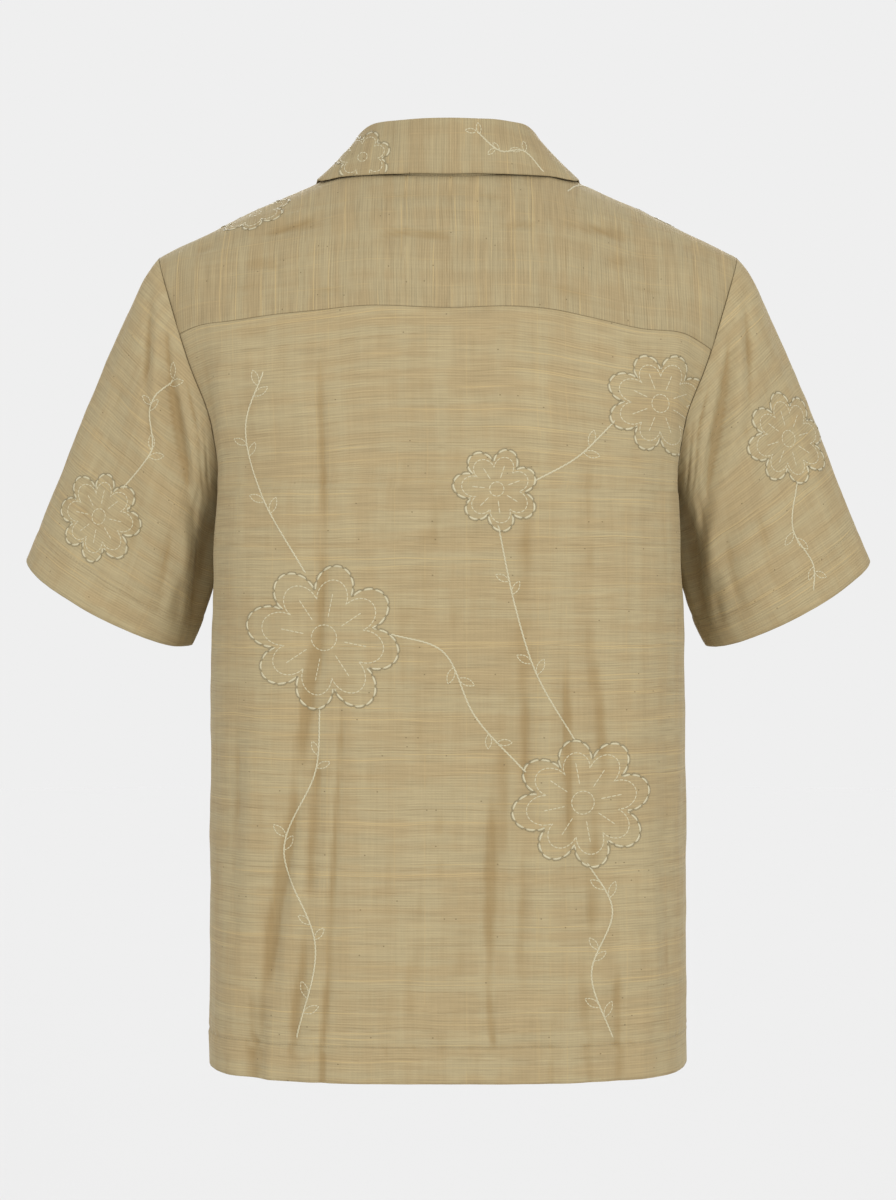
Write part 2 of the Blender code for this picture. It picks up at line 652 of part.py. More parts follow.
def lifted(points, clearance):
    """Points moved out, where needed, to lie at least the clearance off the upper body's form."""
    def closeness(p):
        x, y, z = p[..., 0], p[..., 1], np.maximum(p[..., 2], UNDERARM_HEIGHT + MM)
        power = squareness(z)
        share = np.clip(np.abs(x) / half_width(z), 0, 0.999)
        front_share = (1 - share**power) ** (1 / power)
        over = (np.abs(y) / (depth(z, y > 0) * front_share)) ** (1 / closing(np.arctan2(share, front_share)))
        return np.hypot(over, (z - UNDERARM_HEIGHT) / (ridge_height(x) - UNDERARM_HEIGHT)) - 1

    points = np.array(points, float)
    steps = 0.05 * MM * np.eye(3)
    for _ in range(4):
        rises = [closeness(points + step) - closeness(points - step) for step in steps]
        slope = np.stack(rises, axis=-1) / (2 * steps[0, 0])
        steepness = np.linalg.norm(slope, axis=-1)
        short = np.clip(clearance - closeness(points) / steepness, 0, None)
        points = points + slope / steepness[..., None] * short[..., None]
    return points


def on_front(view, clearance, side):
    """Points over a front, at places in the front view, moved out by a clearance."""
    places = np.array([place_in_view(x, z) for x, z in view])
    return cloth_point(*places.T, side) + form_normal(*places.T) * np.reshape(clearance, (-1, 1))


def turned_sheet(name, concave, first_direction, thickness, away, gorges, material):
    """A sheet that turns over: its concave face, and its other face moved away from that.

    At a gorge, the thickness keeps square to the seam, so that it stays off the piece beyond it.
    """
    normal = unit(np.cross(np.gradient(concave, axis=0), np.gradient(concave, axis=1)))
    if (normal[:, 1] * away).sum() < 0:
        normal = -normal
    normal[:, 0] = first_direction
    for row, across in gorges.items():
        normal[row] = unit(normal[row] - (normal[row] @ across)[:, None] * across)
    return add_wall(name, concave, concave + normal * thickness, material)


def roll(start, rise, out, radius):
    """A half turn of a sheet, from its rise over to the outside."""
    turns = np.radians(np.linspace(0, 180, ROLL_STEPS + 1))
    return [start + radius * out * (1 - math.cos(turn)) + radius * rise * math.sin(turn) for turn in turns]


def opening_frame(seams):
    """Along an open neck's edge: its points, the form's normals and the directions into the opening."""
    points = cloth_point(*seams.opening.T, seams.side)
    normal = form_normal(*seams.opening.T)
    along = np.gradient(points, axis=0)
    return points, normal, unit(np.cross(normal, along)) * seams.side


def fall_run(corner):
    """Shares along a fall, with its gorge cells before a corner and the others past it."""
    return np.concatenate([
        np.linspace(0, corner, GORGE_STEPS + 1)[1:], np.linspace(corner, 1, POINT_STEPS + 1)[1:]
    ])


def past_notch(start, notch, point):
    """Points over a front, from an open neck's edge by way of the notch to a piece's own point."""
    corner = math.dist(start, notch) / (math.dist(start, notch) + math.dist(notch, point))
    run = fall_run(corner)
    view = np.stack([np.interp(run, [0, corner, 1], [start[k], notch[k], point[k]]) for k in (0, 1)], axis=1)
    to_notch = np.clip(run / corner, 0, 1)
    return corner, view, 2 * ROLL_RADIUS + (EDGE_CLEARANCE - 2 * ROLL_RADIUS) * to_notch


GorgeFrame = namedtuple("GorgeFrame", "into normal across path leave")


def gorge_frame(seams):
    """Where collar and lapel meet: directions at the open neck's top, and the collar's path on the front."""
    edge, normal, into = opening_frame(seams)
    flip = np.array([seams.side, 1.0])
    notch = np.array(NOTCH) * flip
    _, view, clearance = past_notch(edge[-1][[0, 2]], notch, np.array(COLLAR_POINT) * flip)
    path = on_front(view, clearance, seams.side)
    leave = edge[-1] + LAPEL_STAND * into[-1] + 2 * ROLL_RADIUS * normal[-1]
    across = unit(np.cross(normal[-1], path[GORGE_STEPS - 1] - leave))
    return GorgeFrame(into[-1], normal[-1], across, path, leave)


def make_lapel(seams, name, material):
    """The facing where it turns out of the open neck and lies on the front."""
    side = seams.side
    edge, normal, into = opening_frame(seams)
    edge_view = edge[:, [0, 2]]
    shares = np.linspace(0, 1, LAPEL_ROWS + 1)
    first = 0 if side > 0 else int(np.argmax(edge_view[:, 0] <= RIGHT_BREAK[0]))
    flip = np.array([side, 1.0])
    point, notch = np.array(LAPEL_POINT) * flip, np.array(NOTCH) * flip
    corner, last, clearance = past_notch(edge_view[-1], notch, point)
    run = fall_run(corner)[:, None]
    bend = last - (1 - run) * edge_view[-1] - run * point
    begin = edge_view[first] - unit(into[first][[0, 2]]) * LAPEL_START_WIDTH
    rows = []
    for i in range(first, LAPEL_ROWS + 1):
        share = (shares[i] - shares[first]) / (1 - shares[first])
        bow = np.array([side, -1]) * LAPEL_BOW * math.sin(math.pi * share)
        far = (1 - share) * begin + share * point + bow
        foot = edge[i] + into[i] * SEAM_GAP
        turned = roll(foot + into[i] * LAPEL_STAND, into[i], normal[i], ROLL_RADIUS)
        view = (1 - run) * edge_view[i] + run * far + bend * share**3
        rows.append(np.concatenate([[foot], turned, on_front(view, clearance, side)]))
    grid = np.array(rows)
    grid[-1] += unit(grid[-2] - grid[-1]) * SEAM_GAP
    gorges = {-1: gorge_frame(seams).across}
    return turned_sheet(name, grid, -normal[first:], CLOTH, -normal[first:], gorges, material)


def collar_section(angle, gorge):
    """One section of the collar's concave face, from the neck seam up, over the roll and down to its edge."""
    place = neck_place(angle)
    side = math.copysign(1, angle)
    seam, normal = form(*place), form_normal(*place)
    at = abs(angle)
    rows = [row.angle for row in COLLAR_SECTIONS]
    stand, lean, radius, clearance = (
        float(curve_through(rows, [getattr(row, name) for row in COLLAR_SECTIONS], at))
        for name in ("stand", "lean", "roll", "clearance")
    )
    reach = NECK_BACK if at < 90 else NECK_FRONT
    outward = unit([seam[0] / NECK_HALF_WIDTH**2, seam[1] / reach**2, 0])
    ahead = smooth((at - 80) / (GORGE_ANGLE - 80))
    rise = unit((1 - ahead) * unit(UP - lean * outward) + ahead * gorge.into)
    out = (1 - ahead) * outward + ahead * gorge.normal
    out = unit(out - rise * (out @ rise))
    foot = seam + rise * SEAM_GAP
    top = foot + rise * max(stand, 0)
    standing = [foot + (top - foot) * share for share in np.linspace(0, 1, STAND_STEPS + 1)[:-1]]
    turned = roll(top, rise, out, radius)
    past_side = (at - 90) / (GORGE_ANGLE - 90)
    if past_side <= 0:
        turn = math.radians(at)
        edge_place = place_in_plan(side * COLLAR_HALF_WIDTH * math.sin(turn), COLLAR_BACK * math.cos(turn))
    else:
        point_y = form(*place_in_view(*COLLAR_POINT))[1]
        across = COLLAR_HALF_WIDTH + (COLLAR_POINT[0] - COLLAR_HALF_WIDTH) * past_side
        edge_place = place_in_plan(side * across, point_y * past_side)
    edge = form(*edge_place) + form_normal(*edge_place) * clearance
    run = np.linspace(0, 1, GORGE_STEPS + POINT_STEPS + 1)[1:, None]
    leave = turned[-1]
    pull = np.linalg.norm(edge - leave)
    fall = (
        (2 * run**3 - 3 * run**2 + 1) * leave
        + (run**3 - 2 * run**2 + run) * (-rise) * pull * 0.6
        + (3 * run**2 - 2 * run**3) * edge
        + (run**3 - run**2) * (edge - leave)
    )
    bent = gorge.path + (leave - gorge.leave) * (1 - run) + (edge - gorge.path[-1]) * run
    weight = np.clip((past_side - 0.3) / 0.7, 0, 1) ** 2
    fall = lifted((1 - weight) * fall + weight * bent, clearance)
    return np.concatenate([standing, turned, fall]), normal, outward


def make_collar(left, right, material):
    """The collar in one piece, from one gorge round the neck to the other."""
    neck = np.linspace(-YOKE_NECK_END, YOKE_NECK_END, NECK_COLUMNS + 1)
    ends = np.linspace(YOKE_NECK_END, GORGE_ANGLE, NECK_ROWS + 1)[1:]
    angles = np.concatenate([-ends[::-1], neck, ends])
    frames = {1: gorge_frame(left), -1: gorge_frame(right)}
    sections = [collar_section(angle, frames[1 if angle >= 0 else -1]) for angle in angles]
    grid = np.array([section[0] for section in sections])
    normals = np.array([section[1] for section in sections])
    outwards = np.array([section[2] for section in sections])
    for edge, inner in ((0, 1), (-1, -2)):
        grid[edge] += unit(grid[inner] - grid[edge]) * SEAM_GAP
    gorges = {0: frames[-1].across, -1: frames[1].across}
    return turned_sheet("collar", grid, -normals, COLLAR_CLOTH, -outwards, gorges, material)


# Buttons


def cylinder(radius, low, high, sides, offset=(0, 0), cap_dish=0.0, rim=0.0):
    """Points and faces of a round piece about Z. A dish sinks the middle of its top, inside a rim."""
    turns = np.linspace(0, 2 * math.pi, sides, endpoint=False)
    circle = np.stack([np.cos(turns), np.sin(turns)], axis=1)
    stations = [(radius, low), (radius, high)]
    if cap_dish:
        tall = high - low
        stations = [(radius * 0.86, low), (radius, low + 0.3 * tall), (radius, high - 0.15 * tall)]
        stations += [(radius * 0.93, high), (radius - rim, high), (radius - rim * 1.4, high - cap_dish)]
    points = [(r * x + offset[0], r * y + offset[1], z) for r, z in stations for x, y in circle]
    faces = [tuple(range(sides))[::-1], tuple(range(len(points) - sides, len(points)))]
    for ring in range(len(stations) - 1):
        for i in range(sides):
            j = (i + 1) % sides
            faces.append((ring * sides + i, ring * sides + j, (ring + 1) * sides + j, (ring + 1) * sides + i))
    return points, faces


def make_buttons(material):
    """Four-hole buttons down the middle of the left front."""
    for index in range(BUTTON_COUNT):
        place = place_in_view(0.0, BUTTON_FIRST - index * BUTTON_PITCH)
        seat = cloth_point(*place, 1) + form_normal(*place) * SEAM_GAP
        normal = form_normal(*place)
        points, faces = cylinder(
            BUTTON_RADIUS, 0, BUTTON_THICKNESS, BUTTON_SIDES, cap_dish=BUTTON_DISH, rim=BUTTON_RIM
        )
        button = add_object(f"button_{index + 1}", points, faces, material)
        turn = math.atan2(-normal[1], normal[2])
        button.rotation_euler = (turn, 0, 0)
        button.location = seat
        for k in range(4):
            angle = math.radians(45 + 90 * k)
            offset = (BUTTON_HOLE_OFFSET * math.cos(angle), BUTTON_HOLE_OFFSET * math.sin(angle))
            points, faces = cylinder(BUTTON_HOLE_RADIUS, -MM, BUTTON_THICKNESS + MM, HOLE_SIDES, offset)
            cutter = add_object(f"hole_cutter_{index + 1}_{k + 1}", points, faces, material)
            cutter.rotation_euler, cutter.location = button.rotation_euler, button.location
            cutter.hide_render = True
            cutter.display_type = "WIRE"
            cut = button.modifiers.new(f"hole_{k + 1}", "BOOLEAN")
            cut.operation, cut.object = "DIFFERENCE", cutter


def make_material(name, colour, roughness):
    """A plain Principled material."""
    material = bpy.data.materials.new(name)
    material.use_nodes = True
    shader = material.node_tree.nodes["Principled BSDF"]
    shader.inputs["Base Color"].default_value = colour
    shader.inputs["Roughness"].default_value = roughness
    shader.inputs["Metallic"].default_value = 0.0
    return material


def main():
    """Builds the shirt."""
    for old in list(bpy.data.objects):
        bpy.data.objects.remove(old)
    cloth = {
        name: make_material(name, CLOTH_COLOUR, CLOTH_ROUGHNESS)
        for name in (
            "back", "yoke", "front_left", "front_right", "sleeve_left", "sleeve_right",
            "lapel_left", "lapel_right", "collar",
        )
    }
    left, right = Seams(1), Seams(-1)
    make_back(left, right, cloth["back"])
    make_yoke(left, right, cloth["yoke"])
    for seams, word in ((left, "left"), (right, "right")):
        make_front(seams, f"front_{word}", cloth[f"front_{word}"])
        make_sleeve(seams, f"sleeve_{word}", cloth[f"sleeve_{word}"])
        make_lapel(seams, f"lapel_{word}", cloth[f"lapel_{word}"])
    make_collar(left, right, cloth["collar"])
    make_buttons(make_material("button", BUTTON_COLOUR, BUTTON_ROUGHNESS))


main()
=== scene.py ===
"""The looks of a short-sleeved camp shirt in slubbed tan cloth, filled out with no wearer.

Every size is in metres unless its name says otherwise. The origin lies midway between the two high points
of the shoulders, +X is the wearer's left, -Y the front and +Z up. The body is one form with two
coordinates: an angle round it, 0 at the middle and 90 degrees at the side, and a level from -1 at the back
hem through 0 at the underarm, 1 on top of the shoulder and 2 at the underarm in front, to 3 at the front hem.
"""

from __future__ import annotations

import logging
import math
from dataclasses import dataclass, field
from enum import Enum
from functools import partial
from typing import Callable, Iterable, Optional, Sequence

import bmesh
import bpy
import numpy as np
from bpy.types import ID, Material, Mesh, Node, NodeSocket, NodeTree, Object
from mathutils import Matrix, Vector
from mathutils.bvhtree import BVHTree

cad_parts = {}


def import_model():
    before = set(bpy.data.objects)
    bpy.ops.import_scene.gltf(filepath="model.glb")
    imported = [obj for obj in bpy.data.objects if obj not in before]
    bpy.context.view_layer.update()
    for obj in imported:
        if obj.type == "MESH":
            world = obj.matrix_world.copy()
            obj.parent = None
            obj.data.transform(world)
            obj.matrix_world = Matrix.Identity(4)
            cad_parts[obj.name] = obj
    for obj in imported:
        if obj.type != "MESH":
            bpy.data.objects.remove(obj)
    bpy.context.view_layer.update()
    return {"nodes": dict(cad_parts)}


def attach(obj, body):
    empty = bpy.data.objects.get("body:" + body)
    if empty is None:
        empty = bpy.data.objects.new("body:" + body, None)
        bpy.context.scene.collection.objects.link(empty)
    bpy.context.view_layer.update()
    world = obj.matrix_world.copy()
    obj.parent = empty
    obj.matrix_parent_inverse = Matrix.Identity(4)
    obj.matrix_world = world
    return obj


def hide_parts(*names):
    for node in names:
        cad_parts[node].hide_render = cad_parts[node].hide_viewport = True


Array = np.ndarray
AddNode = Callable[..., Node]
LOG = logging.getLogger("camp_shirt")
MM = 0.001

# The side seam's angle, and the levels of the body at the underarm and on top of the shoulder
SIDE, BACK_UNDERARM, RIDGE, FRONT_UNDERARM = 90.0, 0.0, 1.0, 2.0
ACROSS, UP = np.array([1.0, 0.0, 0.0]), np.array([0.0, 0.0, 1.0])
# The share of a crease of the body over which it dies away, and how far a short one bows
END_FADE, CREASE_BOW = 0.45, 0.06
# Cosines of half the turn at an armhole, between which its edges go over to a mitre
MITRED_FROM, MITRED_WHOLLY = 0.60, 0.85
# The row of a sleeve's grid on which its hem is stitched
SLEEVE_STITCH_ROW = -9
# Edges that bend more than these stay crisp
CRISP_CLOTH, CRISP_BUTTON = math.radians(65), math.radians(38)


# Small helpers


def unit(vectors: Array) -> Array:
    """The vectors at length 1."""
    vectors = np.asarray(vectors, float)
    return vectors / np.maximum(np.linalg.norm(vectors, axis=-1, keepdims=True), 1e-12)


def smooth(share: Array) -> Array:
    """0 to 1 with a level start and end."""
    share = np.clip(share, 0.0, 1.0)
    return share * share * (3 - 2 * share)


def bell(distance: Array, half_width: float) -> Array:
    """1 at no distance, falling softly to 0 past the half width."""
    return np.exp(-((np.asarray(distance) / half_width) ** 2))


def bow(share: Array, start: Array, leave: Array, end: Array, arrive: Array) -> Array:
    """A cubic curve from start to end, which leaves and arrives with these slopes, read at a share of it."""
    return (
        (2 * share**3 - 3 * share**2 + 1) * start + (share**3 - 2 * share**2 + share) * leave
        + (3 * share**2 - 2 * share**3) * end + (share**3 - share**2) * arrive
    )


def curve_through(places: Sequence[float], values: Sequence[float], at: Array) -> Array:
    """A smooth curve through values at places, read where it is asked.

    Args:
        places: Rising places.
        values: The value at each place.
        at: Where to read the curve.

    Returns:
        The curve's values.
    """
    places, values = np.asarray(places, float), np.asarray(values, float)
    slopes = np.gradient(values, places)
    at = np.clip(at, places[0], places[-1])
    i = np.clip(np.searchsorted(places, at) - 1, 0, len(places) - 2)
    span = places[i + 1] - places[i]
    return bow((at - places[i]) / span, values[i], span * slopes[i], values[i + 1], span * slopes[i + 1])


def uneven(places: Array, length: float, seed: int, waves: int = 7) -> Array:
    """A smooth uneven wave over places, of about one in size.

    Args:
        places: Coordinates, in the last axis.
        length: The usual length of a wave.
        seed: Which of the possible waves to draw.
        waves: How many plain waves it adds up.

    Returns:
        One value for each place.
    """
    draw = np.random.default_rng(seed)
    total = np.zeros(places.shape[:-1])
    for _ in range(waves):
        heading = unit(draw.normal(size=places.shape[-1]))
        size = length * draw.uniform(0.65, 1.6)
        total += np.sin(places @ heading * (2 * math.pi / size) + draw.uniform(0, 2 * math.pi))
    return total / math.sqrt(waves)


def run_along(points: Array, axis: int) -> Array:
    """Lengths from the first point along an axis of a grid of points."""
    steps = np.linalg.norm(np.diff(points, axis=axis), axis=-1)
    zero = np.zeros_like(np.take(steps, [0], axis=axis))
    return np.concatenate([zero, np.cumsum(steps, axis=axis)], axis=axis)


def line(start: Sequence[float], end: Sequence[float], cells: int) -> Array:
    """Evenly spaced places from one to another."""
    share = np.linspace(0, 1, cells + 1)[:, None]
    return (1 - share) * np.array(start) + share * np.array(end)


def quads(place: Array) -> Array:
    """The corners of each cell in a grid of point numbers."""
    return np.stack([place[:-1, :-1], place[1:, :-1], place[1:, 1:], place[:-1, 1:]], axis=-1).reshape(-1, 4)


def join(*stretches: Array) -> Array:
    """Stretches of a seam that follow each other, each starting where the last one ended."""
    return np.concatenate([stretches[0]] + [stretch[1:] for stretch in stretches[1:]])


# The body's form, as in the part's own sizes


class Face(Enum):
    """Which face of the body a fold lies on."""

    BACK = "back"
    FRONT = "front"


@dataclass(frozen=True)
class BodyFold:
    """A soft fold or crease between two places in the back or front view. A trough has a negative depth."""

    face: Face
    top_across: float
    top_height: float
    low_across: float
    low_height: float
    half_width: float
    depth: float


@dataclass(frozen=True)
class SleeveFold:
    """A soft fold of a sleeve. Turns are 0 at the underarm, 0.5 on top and 1 at the underarm again."""

    top_turn: float
    top_drop: float
    low_turn: float
    low_drop: float
    half_width: float
    depth: float


def body_folds(face: Face, rows: Iterable[Sequence[float]]) -> tuple[BodyFold, ...]:
    """Folds from rows of millimetres: across and height at one end and the other, half width and depth."""
    return tuple(BodyFold(face, *(value * MM for value in row)) for row in rows)


MAIN_FOLDS = body_folds(Face.BACK, (
    (98, -205, 118, -699, 13, -3.6), (114, -440, 146, -699, 14, -3.4), (82, -360, 94, -699, 10, -2),
    (106, -420, 131, -699, 11, 2.6), (-60, -215, -34, -660, 15, -3.4), (-92, -330, -104, -640, 13, -2.6),
    (-122, -350, -126, -699, 12, -2.8), (-76, -300, -70, -640, 13, 2),
)) + body_folds(Face.FRONT, (
    (120, -210, 104, -699, 15, -3.6), (86, -330, 70, -699, 13, -2.6), (104, -300, 88, -699, 13, 2.4),
    (-112, -200, -118, -699, 15, -3.4), (-78, -360, -84, -699, 13, -2.4), (-96, -320, -102, -699, 12, 2.2),
))

# Finer creases between the main folds: each is shorter and leans its own way
CREASES = body_folds(Face.BACK, (
    (97, -135, 92, -310, 5, -1.7), (91, -280, 97, -420, 4.5, -1.2), (96, -345, 112, -480, 7, -2),
    (110, -440, 136, -640, 11, -4.1), (132, -560, 144, -699, 13, -4), (96, -400, 104, -600, 7.5, -2.9),
    (104, -560, 117, -690, 7.5, -3.1), (104, -440, 118, -600, 4.5, 1.4), (76, -355, 88, -610, 3.6, -1.3),
    (87, -590, 94, -699, 3.6, -1.4), (86, -420, 95, -640, 4.5, 1), (127, -600, 128, -699, 7, -2.5),
    (160, -360, 163, -660, 8, -2.7), (150, -560, 154, -699, 6, -1.5), (147, -420, 148, -560, 7, 1),
    (190, -110, 182, -300, 8, -3.2), (172, -120, 172, -300, 6, 1.2), (-34, -365, -33, -490, 12, -1.9),
    (-31, -460, -30, -640, 6, -1.9), (-28, -610, -34, -690, 5, -1.5), (-58, -395, -57, -495, 4, -1.2),
    (-48, -440, -49, -600, 5, 0.9), (-54, -520, -53, -640, 5, -1), (-86, -345, -90, -545, 5, -1.8),
    (-106, -340, -116, -490, 8, -2.6), (-112, -460, -108, -620, 8, -2.7), (-97, -380, -100, -560, 5.5, 1.3),
    (-100, -590, -106, -699, 11, -2.8), (-125, -600, -128, -699, 6, -1.7), (-140, -620, -138, -699, 6, -1.5),
    (-79, -620, -76, -699, 6, -1.3), (-60, -240, -58, -350, 6, -0.9), (-104, -220, -106, -345, 7, -1.1),
    (-168, -330, -166, -690, 8, -2.4), (-150, -500, -156, -660, 6, 1), (-190, -110, -182, -300, 8, -3.2),
    (-172, -120, -172, -300, 6, 1.2), (22, -540, 26, -680, 7, -0.8), (8, -230, 14, -360, 9, -0.6),
)) + body_folds(Face.FRONT, (
    (132, -300, 128, -470, 5, -1.6), (112, -420, 106, -640, 5.5, -2), (96, -480, 84, -699, 5, 1.5),
    (72, -450, 62, -640, 5, -1.6), (148, -280, 152, -560, 6.5, -2), (54, -300, 46, -460, 6, -0.9),
    (158, -420, 156, -690, 6, -1.5), (124, -560, 120, -699, 7, -1.8), (190, -110, 182, -300, 8, -3),
    (172, -120, 172, -300, 6, 1.2), (-126, -320, -132, -500, 5, -1.7), (-104, -440, -110, -660, 5.5, -1.9),
    (-88, -500, -94, -699, 5, 1.5), (-66, -420, -70, -620, 5.5, -1.5), (-144, -270, -150, -540, 6.5, -2),
    (-52, -280, -46, -420, 6, -0.9), (-158, -440, -154, -690, 6, -1.6), (-124, -560, -120, -699, 7, -1.7),
    (-190, -110, -182, -300, 8, -3), (-172, -120, -172, -300, 6, 1.2),
))

# Short creases that a seam, the neck or the shoulder pulls slantwise
DRAG_LINES = body_folds(Face.BACK, (
    (144, -57, 82, -47, 3.5, 1.8), (156, -68, 84, -56, 6, -2.4), (170, -86, 112, -94, 11, -3),
    (206, -80, 170, -64, 8, -2), (92, -44, -92, -44, 7, -2), (66, -70, -16, -73, 6, -2.2),
    (30, -62, -30, -62, 4, 1.2), (-20, -68, -84, -60, 6, -2), (-70, -50, -112, -58, 3.5, 1.5),
    (-96, -58, -156, -74, 7, -2.4), (-92, -50, -140, -60, 3.5, 1.6), (-106, -92, -168, -82, 10, -2.8),
    (-170, -66, -206, -82, 8, -1.9), (112, -116, 60, -112, 6, -1.2), (-60, -112, -118, -118, 6, -1.2),
    (170, -112, 128, -104, 4, -0.8), (168, -150, 120, -142, 5, -0.7), (170, -250, 130, -262, 5, -0.8),
    (-128, -106, -170, -114, 4, -0.8), (-122, -150, -168, -160, 5, -0.7), (-130, -258, -170, -246, 5, -0.8),
    (40, -300, -30, -306, 6, -0.5),
)) + body_folds(Face.FRONT, (
    (158, -72, 110, -90, 5, -1.3), (166, -100, 120, -124, 6, -1.5), (150, -66, 104, -70, 4, 0.9),
    (168, -262, 124, -236, 5, -1), (-158, -72, -110, -92, 5, -1.3), (-168, -106, -118, -128, 6, -1.5),
    (-150, -64, -104, -72, 4, 0.9), (-168, -258, -126, -230, 5, -1),
))

# Turn and drop at the top and at the low end, half width, and the depth in millimetres
SLEEVE_FOLDS = tuple(SleeveFold(*row, depth * MM) for *row, depth in (
    (0.30, 0.05, 0.10, 0.60, 0.035, -4.5), (0.36, 0.10, 0.19, 0.75, 0.035, 3.5),
    (0.42, 0.20, 0.30, 0.90, 0.040, -2.8), (0.70, 0.05, 0.90, 0.60, 0.035, -4.0),
    (0.64, 0.10, 0.80, 0.80, 0.035, 3.0),
))
SLEEVE_CREASES = tuple(SleeveFold(*row, depth * MM) for *row, depth in (
    (0.455, 0.02, 0.20, 0.58, 0.020, -2.8), (0.41, 0.02, 0.165, 0.54, 0.017, 2.0),
    (0.375, 0.01, 0.14, 0.46, 0.017, -2.8), (0.33, 0.02, 0.12, 0.38, 0.014, 1.8),
    (0.29, 0.01, 0.10, 0.30, 0.013, -2.2), (0.22, 0.02, 0.08, 0.22, 0.011, -1.4),
    (0.47, 0.12, 0.42, 0.70, 0.026, -2.4), (0.40, 0.46, 0.34, 0.90, 0.018, -1.6),
    (0.27, 0.52, 0.23, 0.98, 0.016, -1.4), (0.31, 0.58, 0.28, 0.96, 0.014, 1.1),
    (0.20, 0.50, 0.16, 0.98, 0.016, -2.0), (0.085, 0.12, 0.055, 1.10, 0.046, -7.0),
    (0.150, 0.50, 0.135, 0.72, 0.020, 2.8), (0.140, 0.26, 0.125, 0.50, 0.018, -2.6),
    (0.135, 0.70, 0.120, 0.92, 0.014, -1.8), (0.545, 0.02, 0.80, 0.58, 0.020, -2.6),
    (0.59, 0.02, 0.835, 0.54, 0.017, 1.9), (0.625, 0.01, 0.86, 0.46, 0.017, -2.6),
    (0.67, 0.02, 0.88, 0.38, 0.014, 1.7), (0.71, 0.01, 0.90, 0.30, 0.013, -2.0),
    (0.60, 0.46, 0.66, 0.92, 0.018, -1.6), (0.73, 0.52, 0.77, 0.98, 0.016, -1.4),
    (0.80, 0.50, 0.84, 0.98, 0.016, -1.9), (0.915, 0.12, 0.945, 1.10, 0.046, -6.5),
    (0.850, 0.50, 0.865, 0.72, 0.020, 2.6),
))


